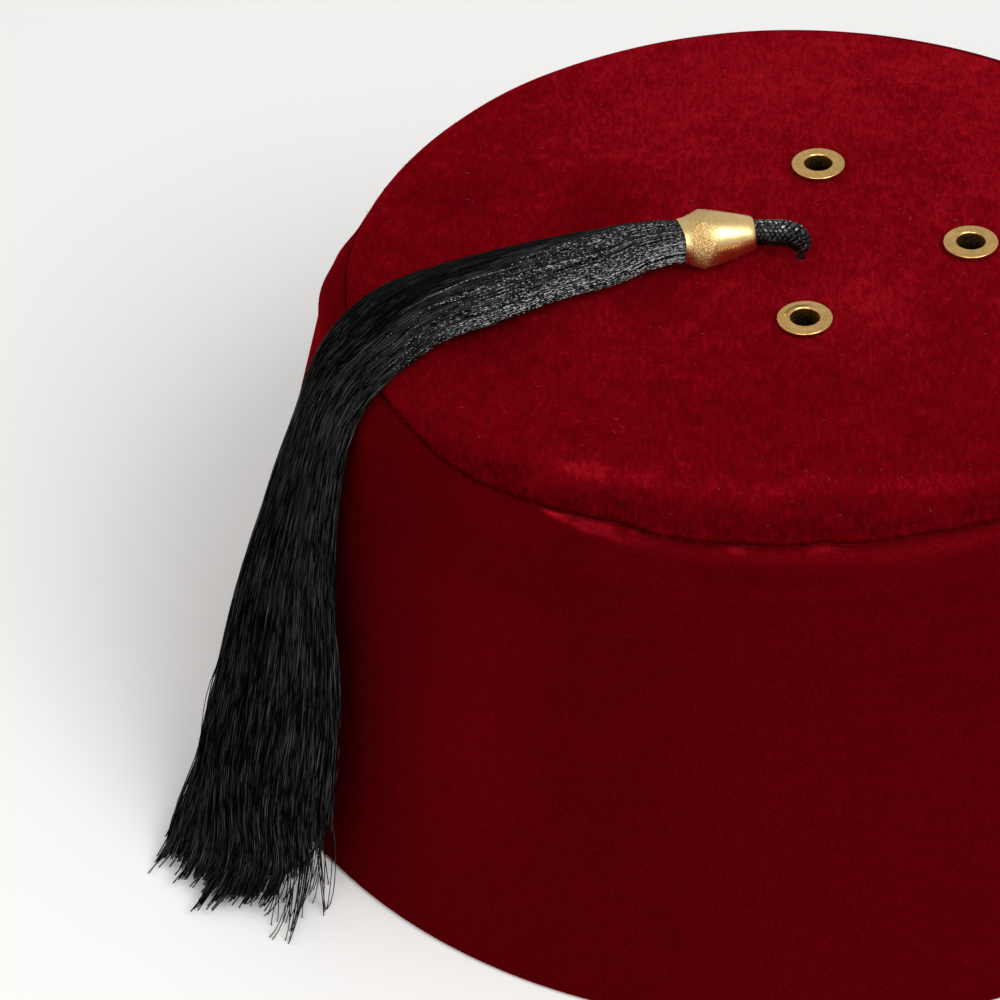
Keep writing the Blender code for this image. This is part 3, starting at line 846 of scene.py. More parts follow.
def arc(middle_radius, middle_height, radius, start, end, steps):
    """Points of a rounded edge, with angles in degrees from the outward direction."""
    points = []
    for step in range(steps + 1):
        turn = math.radians(start + (end - start) * step / steps)
        points.append((
            middle_radius + radius * math.cos(turn),
            middle_height + radius * math.sin(turn),
        ))
    return points


def eyelet_outline(seat):
    hole = EYELET_HOLE / 2
    outer = EYELET_DIAMETER / 2
    back = EYELET_BACK_DIAMETER / 2
    top = seat + GAP + EYELET_RISE
    bottom = HAT_HEIGHT - TIP_THICKNESS - GAP - EYELET_BACK_RISE
    edge = 0.00020
    lip = 0.00036
    outline = [(outer - 0.0003, seat)]
    outline += arc(outer - edge, top - 0.00018 - edge, edge, -70, 80, 6)
    outline += [
        (outer - 0.00045, top - 0.00020),
        (outer - 0.00075, top - 0.00030),
        (outer - 0.00110, top - 0.00028),
        (hole + 0.00080, top - 0.00010),
    ]
    outline += arc(hole + lip, top - lip, lip, 80, 180, 7)
    outline += [(hole, bottom + 0.0004)]
    outline += [(hole + 0.00035, bottom), (back, bottom + 0.0003), (back, bottom + 0.0007)]
    outline += [(hole + EYELET_WALL, bottom + 0.0007), (hole + EYELET_WALL, seat)]
    return outline


eyelet_seat = tip_top(EYELET_REACH) - 0.6 * PRESS_DEPTH
pattern = turned_piece("eyelet_pattern", eyelet_outline(eyelet_seat), EYELET_SIDES)
for number, middle in enumerate(eyelet_middles, start=1):
    eyelet = pattern.copy()
    eyelet.data = pattern.data.copy()
    eyelet.name = f"brass_eyelet_{number}"
    bpy.context.scene.collection.objects.link(eyelet)
    settle(eyelet, Matrix.Translation(AXIS + Vector((middle.x, middle.y, 0))))
    dress(eyelet, dulled_brass, "antique_brass", f"eyelet_{number}")
bpy.data.objects.remove(pattern)
print("eyelets:", len(eyelet_middles))

# %% [markdown]
# ## The cap
# The tassel's head is gathered in a small turned cap of gold-coloured metal that lies on the
# velvet: a short collar at the mouth, a ridge, and a cone down to the cord. It was knocked about,
# so the ridge and collar are scuffed and finely dented, while the cone kept its satin polish. It
# is turned like the eyelets, its points are nudged by noise where the value scuffed is high, and
# the finish reads the same value for its roughness and bumps.

# %% Gold finish
GOLD_DEEP = (0.60, 0.36, 0.13)
GOLD_BRIGHT = (0.99, 0.74, 0.34)


def gold_finish():
    material, shader = new_finish("scuffed_gold")
    place = coordinates(material, "Object")
    scuffed = point_value(material, "scuffed")
    clouds = stretched_noise(material, place, 420.0, detail=3.0)
    scrapes = stretched_noise(
        material, place, 1900.0, detail=4.0, roughness=0.7, stretch=(1.0, 0.5, 1.0)
    )
    level = weighted(material, 0.10, [(clouds, 0.6), (scrapes, 0.35), (scuffed, -0.18)])
    colour = ramp(material, level, [(0.1, GOLD_DEEP), (0.8, GOLD_BRIGHT)])
    join(material, colour, shader.inputs["Base Color"])
    set_sockets(shader, Metallic=1.0)
    rough = weighted(material, 0.26, [(clouds, 0.08), (scuffed, 0.12)])
    join(material, rough, shader.inputs["Roughness"])
    worn = add_node(material, "ShaderNodeMath", operation="MULTIPLY")
    join(material, scuffed, worn.inputs[0])
    join(material, scrapes, worn.inputs[1])
    add_bump(material, shader, [(clouds, 0.12, 0.0003), (worn.outputs[0], 1.0, 0.0004)])
    return material


scuffed_gold = gold_finish()
print("gold ready")

# %% Outline of the cap
CAP_SIDES = 96
CONE_STEPS = 12
CONE_BOW = 0.00012
CAP_LENGTH = 0.0118
CAP_RIDGE_RADIUS = 0.00485
CAP_COLLAR_RADIUS = 0.00375
CAP_WALL = 0.0004
CAP_DIRECTION = -168.8
MOUTH_LEAN = 0.0007
CORD_RUN = 0.0070


def cap_outline():
    """The cap's closed outline, from the mouth at height 0 to its small end."""
    cord_way = CORD_DIAMETER / 2
    collar = CAP_COLLAR_RADIUS
    ridge = CAP_RIDGE_RADIUS
    outline = [(collar - 0.0001, 0.0), (collar, 0.0001)]
    outline += [(collar, 0.02 * CAP_LENGTH), (collar + 0.00006, 0.04 * CAP_LENGTH)]
    for share in (0.1, 0.25, 0.45, 0.65, 0.82, 0.94, 1.0):
        height = (0.055 + 0.195 * share ** 1.1) * CAP_LENGTH
        outline.append((collar + (ridge - collar) * share, height))
    outline += [(ridge, 0.285 * CAP_LENGTH), (ridge - 0.00005, 0.31 * CAP_LENGTH)]
    for step in range(1, CONE_STEPS + 1):
        share = step / CONE_STEPS
        radius = ridge + (cord_way + 1.6 * CAP_WALL - ridge) * share
        bow = CONE_BOW * math.sin(math.pi * share)
        outline.append((radius + bow, (0.31 + 0.65 * share) * CAP_LENGTH))
    outline.append((cord_way + 1.15 * CAP_WALL, 0.985 * CAP_LENGTH))
    outline.append((cord_way + 0.6 * CAP_WALL, CAP_LENGTH))
    for radius, height in (
        (cord_way, 0.995), (cord_way, 0.92),
        (ridge - CAP_WALL, 0.33), (ridge - CAP_WALL, 0.25),
        (collar - CAP_WALL, 0.12), (collar - CAP_WALL, 0.0),
    ):
        outline.append((radius, height * CAP_LENGTH))
    return outline


print("cap outline points:", len(cap_outline()))

# %% Cap
DENT_DEPTH = 0.00014
WAVE_DEPTH = 0.00006
cap = turned_piece("gold_cap", cap_outline(), CAP_SIDES)
scuffed_values = []
for vertex in cap.data.vertices:
    along = vertex.co.z / CAP_LENGTH
    place = vertex.co * 1000
    worn = bump_between((along - 0.24) / 0.26)
    patch = 0.5 + noise.noise(place * 0.35 + Vector((4.0, 1.0, 7.0)))
    worn = max(0.0, min(1.0, worn * (0.80 + 0.6 * patch)))
    outwards = Vector((vertex.co.x, vertex.co.y, 0)).normalized()
    dent = DENT_DEPTH * noise.noise(place * 1.1) * worn + WAVE_DEPTH * noise.noise(place * 0.3)
    vertex.co += outwards * dent
    upper = max(0.0, 0.63 * outwards.x + 0.77 * outwards.y)
    vertex.co.z -= MOUTH_LEAN * upper ** 1.5 * smooth_between(1 - along / 0.20)
    scuffed_values.append(worn)
mark_points(cap, "scuffed", scuffed_values)
cap_turn = math.radians(CAP_DIRECTION)
cap_way = Vector((math.cos(cap_turn), math.sin(cap_turn), 0))
CAP_HEIGHT = tip_top(0.0) + GAP + CAP_RIDGE_RADIUS
small_end = Vector((CORD_HOLE.x, CORD_HOLE.y, CAP_HEIGHT)) + cap_way * CORD_RUN
mouth = small_end + cap_way * CAP_LENGTH
cap_turned = (-cap_way).to_track_quat("Z", "Y").to_matrix().to_4x4()
settle(cap, Matrix.Translation(AXIS + mouth) @ cap_turned)
dress(cap, scuffed_gold, "satin_gold", "tassel_cap")
print("cap faces:", len(cap.data.polygons))

# %% [markdown]
# ## Threads from arrays
# The cord, the tassel and the lint are hundreds of thin fibres. Modelled one by one they would
# never end, so their paths are worked out as arrays and joined into one mesh: each path point
# gets a small ring of three or more corners. A UV map runs along each thread, in millimetres, and
# round it, starting a little further on for each thread, and a value called tone sets how many
# glints and sheen lines the finish paints on each part of a thread, a little different for each.

# %% Helper that joins many threads into one mesh
THREAD_APART = 7.3


def unit(arrays):
    return arrays / np.linalg.norm(arrays, axis=-1, keepdims=True)


def path_lengths(points):
    """How far along a path each of its points lies."""
    steps = np.linalg.norm(np.diff(points, axis=0), axis=1)
    return np.concatenate([[0.0], np.cumsum(steps)])


def thread_mesh(name, paths, radii, tones, sides=3, flat=None, flat_way=None):
    """One mesh of many threads: paths is threads x points x 3, radii is threads x points.

    Flat gives a second, thinner radius along flat_way, for ribbons.
    """
    count, points = paths.shape[:2]
    tangent = unit(np.gradient(paths, axis=1))
    if flat_way is None:
        least = np.argmin(np.abs(tangent).max(axis=1), axis=1)
        flat_way = np.broadcast_to(np.eye(3)[least][:, None, :], paths.shape)
    first = unit(np.cross(tangent, flat_way))
    second = np.cross(tangent, first)
    thin = radii if flat is None else flat
    turn = 2 * math.pi * np.arange(sides) / sides
    rings = (
        paths[:, :, None, :]
        + first[:, :, None, :] * np.cos(turn)[None, None, :, None] * radii[:, :, None, None]
        + second[:, :, None, :] * np.sin(turn)[None, None, :, None] * thin[:, :, None, None]
    )
    index = np.arange(count * points * sides).reshape(count, points, sides)
    beside = np.roll(index, -1, axis=2)
    quads = np.stack([index[:, :-1], beside[:, :-1], beside[:, 1:], index[:, 1:]], axis=-1)
    faces = quads.reshape(-1, 4).tolist() + index[:, 0, ::-1].tolist() + index[:, -1].tolist()
    mesh = bpy.data.meshes.new(name)
    mesh.from_pydata(rings.reshape(-1, 3).tolist(), [], faces)
    steps = np.linalg.norm(np.diff(paths, axis=1), axis=2)
    along = np.concatenate([np.zeros((count, 1)), np.cumsum(steps, axis=1)], axis=1) * 1000
    along = along + np.arange(count)[:, None] * THREAD_APART
    side = np.arange(sides) / sides
    low = np.broadcast_to(along[:, :-1, None], (count, points - 1, sides))
    high = np.broadcast_to(along[:, 1:, None], (count, points - 1, sides))
    near = np.broadcast_to(side, (count, points - 1, sides))
    corners = np.stack([
        np.stack([low, near], axis=-1), np.stack([low, near + 1 / sides], axis=-1),
        np.stack([high, near + 1 / sides], axis=-1), np.stack([high, near], axis=-1),
    ], axis=-2).reshape(-1, 2)
    caps = np.concatenate([np.repeat(along[:, 0], sides), np.repeat(along[:, -1], sides)])
    caps = np.stack([caps, np.zeros_like(caps)], axis=-1)
    layer = mesh.uv_layers.new(name="thread")
    layer.data.foreach_set("uv", np.concatenate([corners, caps]).astype(np.float32).ravel())
    piece = bpy.data.objects.new(name, mesh)
    bpy.context.scene.collection.objects.link(piece)
    tones = np.broadcast_to(np.reshape(tones, (count, -1)), (count, points))
    mark_points(piece, "tone", np.repeat(tones.ravel(), sides))
    mesh.shade_smooth()
    return piece


def through(points, steps):
    """A smooth curve through the points, with this many steps between two of them."""
    ends = [points[0] * 2 - points[1]] + list(points) + [points[-1] * 2 - points[-2]]
    found = []
    for before, start, end, after in zip(ends, ends[1:], ends[2:], ends[3:]):
        for step in range(steps):
            share = step / steps
            found.append(0.5 * (
                2 * start
                + (end - before) * share
                + (2 * before - 5 * start + 4 * end - after) * share ** 2
                + (3 * start - before - 3 * end + after) * share ** 3
            ))
    found.append(points[-1].copy())
    return found


print("thread helper ready")

# %% [markdown]
# ## Black rayon
# Rayon threads are glossy and twisted. Each one is only a quarter of a millimetre thick, so what
# shows is not its twist but a row of short glints along it. The finish is nearly black, and those
# glints are painted into its colour: a noise that runs along the thread's own UV map makes short
# pale dashes, more of them where the tone is high, and a slower one paints faint long sheen lines.

# %% Rayon finish
RAYON_DARK = (0.0012, 0.0012, 0.0014)
RAYON_SHEEN_LINE = (0.060, 0.060, 0.064)
RAYON_GLINT = (0.80, 0.80, 0.81)
CORE_DARK = (0.001, 0.001, 0.001)
CORE_GREY = (0.006, 0.006, 0.007)
GLINT_BY_TONE = 0.36
LINE_BY_TONE = 0.30
LINE_TONE_TOP = 0.12
LINE_SCALE = 0.13
TWIST_SCALE = 1.6
TWIST_DEPTH = 0.0001


def rayon_finish(name, glint_scale, glint_share, roughness, gloss):
    material, shader = new_finish(name)
    along = coordinates(material, "UV")
    tone = point_value(material, "tone")
    dashes = stretched_noise(material, along, glint_scale, detail=1.0, stretch=(1.0, 0.7, 1.0))
    # Painted glints: pale dashes along the thread, more of them where the tone is high.
    level = weighted(material, glint_share, [(dashes, 1.0), (tone, GLINT_BY_TONE)])
    glints = ramp(material, level, [(0.78, RAYON_DARK), (1.0, RAYON_GLINT)])
    # Painted sheen: faint long pale lines along the threads.
    strokes = stretched_noise(material, along, LINE_SCALE, detail=2.0, stretch=(1.0, 0.5, 1.0))
    low_tone = add_node(material, "ShaderNodeMath", operation="MINIMUM")
    join(material, tone, low_tone.inputs[0])
    low_tone.inputs[1].default_value = LINE_TONE_TOP
    level = weighted(material, 0.0, [(strokes, 1.0), (low_tone.outputs[0], LINE_BY_TONE)])
    sheen_lines = ramp(material, level, [(0.50, (0, 0, 0)), (0.72, RAYON_SHEEN_LINE)])
    both = add_node(material, "ShaderNodeVectorMath", operation="ADD")
    join(material, glints, both.inputs[0])
    join(material, sheen_lines, both.inputs[1])
    join(material, both.outputs["Vector"], shader.inputs["Base Color"])
    set_sockets(shader, Roughness=roughness, Specular_IOR_Level=gloss)
    twist = stretched_noise(material, along, TWIST_SCALE, detail=0.0, stretch=(1.0, 4.0, 1.0))
    add_bump(material, shader, [(twist, 0.6, TWIST_DEPTH)])
    return material


def core_finish():
    """Almost black, for what only shows between threads."""
    material, shader = new_finish("tassel_core_rayon")
    grain = stretched_noise(material, coordinates(material, "Object"), 900.0, detail=2.0)
    colour = ramp(material, grain, [(0.3, CORE_DARK), (0.8, CORE_GREY)])
    join(material, colour, shader.inputs["Base Color"])
    set_sockets(shader, Roughness=0.7)
    return material


tassel_rayon = rayon_finish(
    "tassel_rayon", glint_scale=2.1, glint_share=-0.13, roughness=0.40, gloss=0.02
)
cord_rayon = rayon_finish(
    "cord_rayon", glint_scale=1.8, glint_share=0.04, roughness=0.26, gloss=0.22
)
core_rayon = core_finish()
print("rayon ready")

# %% [markdown]
# ## The braided cord
# Sixteen thin strands, eight turning each way, pass over and under each other in turn, which
# gives the straight rows of small crests of a round braid. The cord leaves the cap's small end,
# bends down through the tip, and swells into its knot underneath. The braid is built as real
# strands: each one winds round the cord's route while its distance from the middle rises and
# falls, so that strands of the two hands pass over each other. Glints are painted on every
# crest through a high tone, most of all on top. A plain core inside closes the gaps.

# %% Route of the cord
BRAID_STRANDS = 8
BRAID_PITCH = 0.0062
BRAID_WEAVE = 0.00018
STRAND_HALF_WIDTH = 0.00035
STRAND_HALF_THICKNESS = 0.00022
KNOT_LENGTH = 0.0042
ROUTE_STEPS = 12
CORD_STEPS = 150
CORD_SHARES = (1.0, 1.0, 1.0, 0.88, 0.26, 1.0)
KNOT_ROWS = (
    # share of the knot's depth, radius as a share of the cord's
    (0.04, 1.0), (0.22, 1.5), (0.45, 1.68), (0.7, 1.6), (0.92, 1.3), (1.0, 0.4),
)


def cord_route():
    """The cord's middle line and its radius at each point."""
    x, y = CORD_FOOT.x, CORD_FOOT.y
    top = tip_top(0.0)
    under = HAT_HEIGHT - TIP_THICKNESS
    rise = small_end.z - top
    places = [
        small_end + cap_way * (0.30 * CAP_LENGTH),
        small_end,
        Vector((x, y, top + 0.95 * rise)) + cap_way * (0.30 * CORD_RUN),
        Vector((x, y, top + 0.55 * rise)) - cap_way * (0.01 * CORD_RUN),
        Vector((x, y, top)),
        Vector((x, y, under)),
    ]
    route = through(places, ROUTE_STEPS)
    sizes = through([Vector((share, 0, 0)) for share in CORD_SHARES], ROUTE_STEPS)
    radii = [size.x * CORD_DIAMETER / 2 for size in sizes]
    for down, radius in KNOT_ROWS:
        route.append(Vector((x, y, under - GAP - down * KNOT_LENGTH)))
        radii.append(radius * CORD_DIAMETER / 2)
    return route, radii


def even_frames(route, steps):
    """Points and two side directions evenly spaced along a route, as arrays, and their places."""
    route = np.array([tuple(point) for point in route])
    lengths = path_lengths(route)
    places = np.linspace(0, lengths[-1], steps)
    points = np.stack([np.interp(places, lengths, route[:, axis]) for axis in range(3)], axis=1)
    tangents = unit(np.gradient(points, axis=0))
    beside = np.zeros_like(points)
    beside[0] = np.cross(tangents[0], (0.0, 0.0, 1.0))
    for step in range(1, steps):
        before = beside[step - 1]
        beside[step] = before - tangents[step] * (before @ tangents[step])
    beside = unit(beside)
    above = np.cross(beside, tangents)
    return points, beside, above, lengths, places


print("cord helpers ready")

# %% Braid
route, route_radii = cord_route()
cord_points, cord_beside, cord_above, route_lengths, cord_places = even_frames(route, CORD_STEPS)
cord_radii = np.interp(cord_places, route_lengths, route_radii)
strand_paths = []
strand_outs = []
strand_tones = []
for hand in (1, -1):
    for strand in range(BRAID_STRANDS):
        turned = 2 * math.pi * cord_places / BRAID_PITCH
        weave = hand * np.cos(BRAID_STRANDS * turned)
        turn = hand * turned + 2 * math.pi * strand / BRAID_STRANDS
        outwards = cord_beside * np.cos(turn)[:, None] + cord_above * np.sin(turn)[:, None]
        reach = cord_radii - STRAND_HALF_THICKNESS - BRAID_WEAVE + BRAID_WEAVE * weave
        strand_paths.append(cord_points + outwards * reach[:, None])
        strand_outs.append(outwards)
        # Painted glints: the tone is high on each crest, more on the top of the cord.
        lit = np.clip(0.30 + 0.70 * outwards[:, 2], 0, 1)
        strand_tones.append(1.45 * np.clip(weave, 0, 1) ** 3 * lit - 0.3)
grow = np.clip(cord_radii / (CORD_DIAMETER / 2), 0.45, 2.0)
widths = np.tile(STRAND_HALF_WIDTH * grow, (2 * BRAID_STRANDS, 1))
thins = np.full_like(widths, STRAND_HALF_THICKNESS)
braid = thread_mesh(
    "braided_cord", np.array(strand_paths) + np.array(AXIS), widths, np.array(strand_tones),
    sides=8, flat=thins, flat_way=np.array(strand_outs),
)
dress(braid, cord_rayon, "black_rayon", "tassel_cord")
core_paths = cord_points[None, ::2] + np.array(AXIS)
core_widths = cord_radii[None, ::2] - STRAND_HALF_THICKNESS - 2 * BRAID_WEAVE
braid_core = thread_mesh("cord_core", core_paths, core_widths, np.zeros(1), sides=16)
dress(braid_core, core_rayon, "black_rayon", "tassel_cord")
print("braid faces:", len(braid.data.polygons))

# %% [markdown]
# ## The tassel's way
# The skirt of the tassel lies on the tip, bends over the seam, hangs clear of the wall as it
# spreads, and reaches the floor with its ends splayed. Its middle line is fixed by a row for each
# stretch: how far along the hat it is, at which azimuth, how high it lies, and how wide and thick
# it is there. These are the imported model's own rows, so the threads stay where its solid is.
# Along is a share of the seam's radius on the tip, of the shoulder or of the wall, and of the
# splay on the floor, and the last three columns are shares of the skirt's own sizes.

# %% Way of the skirt
SKIRT_NECK_RADIUS = 0.00305
SKIRT_WIDTH = 0.0200
SKIRT_THICKNESS = 0.0060
SKIRT_SPLAY = 0.0240
SKIRT_RAGGED = 0.0050
HEAD_LENGTH = 0.0050
SKIRT_ROWS = (
    # stretch, along, azimuth, under, width, thick
    ("tip", 0.320, -176.8, 0.30, 0.46, 1.08),
    ("tip", 0.432, -172.4, 0.24, 0.66, 1.02),
    ("tip", 0.560, -169.6, 0.12, 0.76, 0.99),
    ("tip", 0.690, -167.2, 0.08, 0.87, 0.96),
    ("tip", 0.800, -164.9, 0.08, 0.92, 0.93),
    ("tip", 0.900, -162.0, 0.10, 0.90, 0.86),
    ("shoulder", 0.10, -159.2, 0.10, 0.87, 0.80),
    ("shoulder", 0.45, -157.2, 0.08, 0.86, 0.80),
    ("shoulder", 0.80, -156.0, 0.05, 0.88, 0.85),
    ("wall", 0.10, -155.6, 0.05, 0.97, 0.96),
    ("wall", 0.28, -154.2, 0.12, 1.22, 1.24),
    ("wall", 0.48, -150.9, 0.25, 1.62, 1.66),
    ("wall", 0.67, -147.7, 0.45, 1.96, 1.94),
    ("wall", 0.85, -145.7, 0.80, 1.98, 2.08),
    ("floor", 0.46, -144.8, 0.06, 1.78, 1.45),
    ("floor", 0.61, -144.2, 0.06, 1.68, 0.98),
    ("floor", 0.73, -143.8, 0.06, 1.60, 0.62),
)
ROW_STEPS = 6
WAY_STEPS = 120


def hat_surface(stretch, along, azimuth):
    """A point on the hat or floor and the way out of it, each as (radius, height)."""
    if stretch == "tip":
        radius = along * SEAM_RADIUS
        return (radius, tip_top(radius)), (0.0, 1.0)
    if stretch == "shoulder":
        radius, height = shoulder_point(along, azimuth)
        after_radius, after_height = shoulder_point(along + 0.01, azimuth)
        run = math.hypot(after_radius - radius, after_height - height)
        return (radius, height), ((height - after_height) / run, (after_radius - radius) / run)
    if stretch == "wall":
        slope = math.atan2(RIM_RADIUS - SHOULDER_RADIUS, SHOULDER_HEIGHT)
        return wall_point(along, azimuth), (math.cos(slope), math.sin(slope))
    return (RIM_RADIUS + along * SKIRT_SPLAY, 0.0), (0.0, 1.0)


def skirt_way():
    """Middles, half sizes and outward ways of the skirt, from inside the cap to the floor."""
    neck = SKIRT_NECK_RADIUS
    middles = [mouth - cap_way * HEAD_LENGTH, mouth - cap_way * (HEAD_LENGTH / 2), mouth]
    halves = [Vector((neck, neck, 0))] * 3
    outs = [Vector((0, 0, 1))] * 3
    for stretch, share, azimuth, under, width, thick in SKIRT_ROWS:
        (radius, height), (out_radius, out_height) = hat_surface(stretch, share, azimuth)
        lift = GAP + (under + thick / 2) * SKIRT_THICKNESS
        turn = math.radians(azimuth)
        radial = Vector((math.cos(turn), math.sin(turn), 0))
        out = radial * out_radius + Vector((0, 0, out_height))
        middles.append(radial * radius + Vector((0, 0, height)) + out * lift)
        halves.append(Vector((width * SKIRT_WIDTH / 2, thick * SKIRT_THICKNESS / 2, 0)))
        outs.append(out)
    return [through(part, ROW_STEPS) for part in (middles, halves, outs)]


way_middles, way_halves, way_outs = (np.array([tuple(v) for v in part]) for part in skirt_way())
way_lengths = path_lengths(way_middles)
SKIRT_LENGTH = way_lengths[-1]
print("skirt length mm:", round(SKIRT_LENGTH * 1000, 1))

# %% [markdown]
# ## Easing the way
# A curve through chosen rows is a little lumpy, and each lump would show in all the threads at
# once. So the rows are read at even steps and averaged with their neighbours, except inside the
# cap, and the way's own directions follow from that. A last short table moves and widens it in
# places where the skirt sags, bends or is blown out, and its end is drawn in.

# %% Frames along the way
way_places = np.linspace(0, SKIRT_LENGTH, WAY_STEPS + 1)


def along_way(values):
    columns = [np.interp(way_places, way_lengths, values[:, axis]) for axis in range(3)]
    return np.stack(columns, axis=1)


def eased(values, reach):
    """Values averaged over their neighbours along the way, with both ends kept."""
    padded = np.pad(values, ((reach, reach), (0, 0)), mode="reflect", reflect_type="odd")
    window = np.ones(2 * reach + 1) / (2 * reach + 1)
    columns = [np.convolve(padded[:, axis], window, mode="valid") for axis in range(3)]
    return np.stack(columns, axis=1)


EASE_REACH = 6
TURN_REACH = 4
even_shares = np.linspace(0, 1, WAY_STEPS + 1)
free_of_cap = np.clip((even_shares - 0.08) / 0.14, 0, 1)[:, None]
even_middles = along_way(way_middles)
even_middles += free_of_cap * (eased(eased(even_middles, EASE_REACH), EASE_REACH) - even_middles)
even_halves = along_way(way_halves)
even_halves += free_of_cap * (eased(even_halves, EASE_REACH) - even_halves)
even_forward = unit(eased(unit(np.gradient(even_middles, axis=0)), TURN_REACH))
even_across = unit(np.cross(even_forward, unit(eased(along_way(way_outs), EASE_REACH))))
even_out = unit(np.cross(even_across, even_forward))
print("steps along the way:", len(even_middles))

# %% Small moves of the way
NECK_PLACES = (0.0, HEAD_LENGTH, HEAD_LENGTH + 0.004, 0.03)
NECK_SWELL = (1.05, 1.10, 1.08, 0.97)
WAY_MOVES = (
    # middle and reach as shares of the way, across mm, out mm, how much wider
    (0.430, 0.06, 0.0, 0.4, 0.0),
    (0.325, 0.05, 1.1, 0.0, -0.03),
    (0.100, 0.05, 0.0, -0.9, 0.0),
    (0.580, 0.07, 0.7, 0.0, 0.07),
    (0.680, 0.05, 0.8, 0.0, 0.055),
)
DRAWN_IN_PLACES = (0.74, 0.90, 1.0)
DRAWN_IN = (1.0, 0.91, 0.90)
DRAWN_IN_SHIFT = 0.2
even_halves *= np.interp(way_places, NECK_PLACES, NECK_SWELL)[:, None]
for middle, reach, across_mm, out_mm, wider in WAY_MOVES:
    near = np.exp(-((even_shares - middle) / reach) ** 2)
    move = even_across * (0.001 * across_mm) + even_out * (0.001 * out_mm)
    even_middles += move * near[:, None]
    even_halves[:, 0] *= 1 + wider * near
drawn_in = np.interp(even_shares, DRAWN_IN_PLACES, DRAWN_IN)
even_middles -= even_across * ((1 - drawn_in) * even_halves[:, 0])[:, None] * DRAWN_IN_SHIFT
even_halves[:, 0] *= drawn_in
print("widest place mm:", round(even_halves[:, 0].max() * 2000, 1))

# %% [markdown]
# ## The tassel's threads
# A tassel like this has some two thousand threads. They start side by side in the cap, gather in
# loose locks as they fall, and each was cut at its own length. Every thread keeps its place in the
# skirt's cross-section, as a share across and a share out, and drifts from it: with its lock, by
# slow waves, and on its own, by small ones that grow towards the free end. Threads that ran away
# from the rest come last, with ends that lie loose on the floor.

# %% Places in the skirt
THREAD_RADIUS = 0.000125
THREAD_POINTS = 40
FLOOR_LIFT = 1.2 * THREAD_RADIUS
HAT_LIFT = 1.5 * THREAD_RADIUS
SEED = 27
rng = np.random.default_rng(SEED)


def read_way(values, shares):
    """Values of the even frames at shares of the skirt's length, straight on past its end."""
    place = np.clip(shares, 0, 1) * WAY_STEPS
    low = np.minimum(place.astype(int), WAY_STEPS - 1)
    part = (place - low)[..., None]
    return values[low] * (1 - part) + values[low + 1] * part


def place_threads(shares, across, out):
    """Points at shares of the way and shares across and out of the cross-section."""
    halves = read_way(even_halves, shares)
    points = (
        read_way(even_middles, shares)
        + read_way(even_across, shares) * (across * halves[..., 0])[..., None]
        + read_way(even_out, shares) * (out * halves[..., 1])[..., None]
    )
    last = unit(even_forward[-1] * (1, 1, 0))
    beyond = np.maximum(shares - 1, 0) * SKIRT_LENGTH
    points = keep_off_hat(points + last * beyond[..., None])
    points[..., 2] = np.maximum(points[..., 2] - 0.3 * beyond, FLOOR_LIFT)
    return points


HAT_SIDE = np.array(
    [(SEAM_RADIUS - 0.004, tip_top(SEAM_RADIUS - 0.004)), (SEAM_RADIUS - 0.0008, HAT_HEIGHT)]
    + [shoulder_point(step / 6, -156.0) for step in range(1, 7)]
    + [(RIM_RADIUS, RIM_ROLL)]
)


def keep_off_hat(points):
    """Lifts points that have sunk into the hat back to its surface."""
    radius = np.hypot(points[..., 0], points[..., 1])
    run = np.diff(HAT_SIDE, axis=0)
    outwards = unit(np.stack([-run[:, 1], run[:, 0]], axis=1))
    outwards = np.where((outwards[:, :1] + outwards[:, 1:]) < 0, -outwards, outwards)
    reach = (outwards * HAT_SIDE[:-1]).sum(axis=1)
    away = radius[..., None] * outwards[:, 0] + points[..., 2:3] * outwards[:, 1] - reach
    nearest = np.argmax(away, axis=-1)
    depth = np.maximum(0.0, HAT_LIFT - away.max(axis=-1))
    push = outwards[nearest]
    safe = np.maximum(radius, 0.001)
    points[..., 0] += points[..., 0] / safe * push[..., 0] * depth
    points[..., 1] += points[..., 1] / safe * push[..., 0] * depth
    points[..., 2] += push[..., 1] * depth
    return points


print("thread points:", THREAD_POINTS, "radius mm:", THREAD_RADIUS * 1000)

# %% Locks, tufts and cut ends
LOCK_COUNT = 26
LOCK_ROOM = LOCK_COUNT + 2
LOCK_WAVES = (0.8, 2.2)
LOCK_REACH = (0.02, 0.065)
LOCK_RISE = (-0.14, 0.10)
LOCK_GATHER = 0.45
LOCK_FREE_FROM = 0.12
TUFT_COUNT = 40
TUFT_ROOM = TUFT_COUNT + 2
TUFT_CUT = 0.009
TUFT_LEAN = 0.022
CUT_SPREAD = 0.006
LONG_PART = 0.05
LONG_BY = 0.02
LOCK_ENDS = (
    # how far past the way's end the cut lies, every 30 degrees round the skirt
    -0.35, -0.15, -0.10, 0.25, 0.00, -1.80, -3.60, -4.00, -2.60, -1.00, -0.60, -0.40,
)


def end_shares(across, out):
    """Where each thread was cut, by its place round the skirt's outline."""
    turn = np.degrees(np.arctan2(out, across)) % 360
    rows = np.array(LOCK_ENDS + LOCK_ENDS[:1])
    return 1 + np.interp(turn / 30, np.arange(13), rows) * SKIRT_RAGGED / SKIRT_LENGTH


def cut_tufts(across, side):
    """For each thread, the middle of the tuft it ends in, how much longer it is and its lean."""
    tuft = np.floor((across + 1) / 2 * TUFT_COUNT).astype(int) + (side < 0) * TUFT_ROOM
    middles = (np.arange(2 * TUFT_ROOM) % TUFT_ROOM + 0.5) / TUFT_COUNT * 2 - 1
    longer = rng.normal(0, TUFT_CUT, 2 * TUFT_ROOM)
    leans = rng.normal(0, TUFT_LEAN, 2 * TUFT_ROOM)
    return middles[tuft], longer[tuft], leans[tuft]


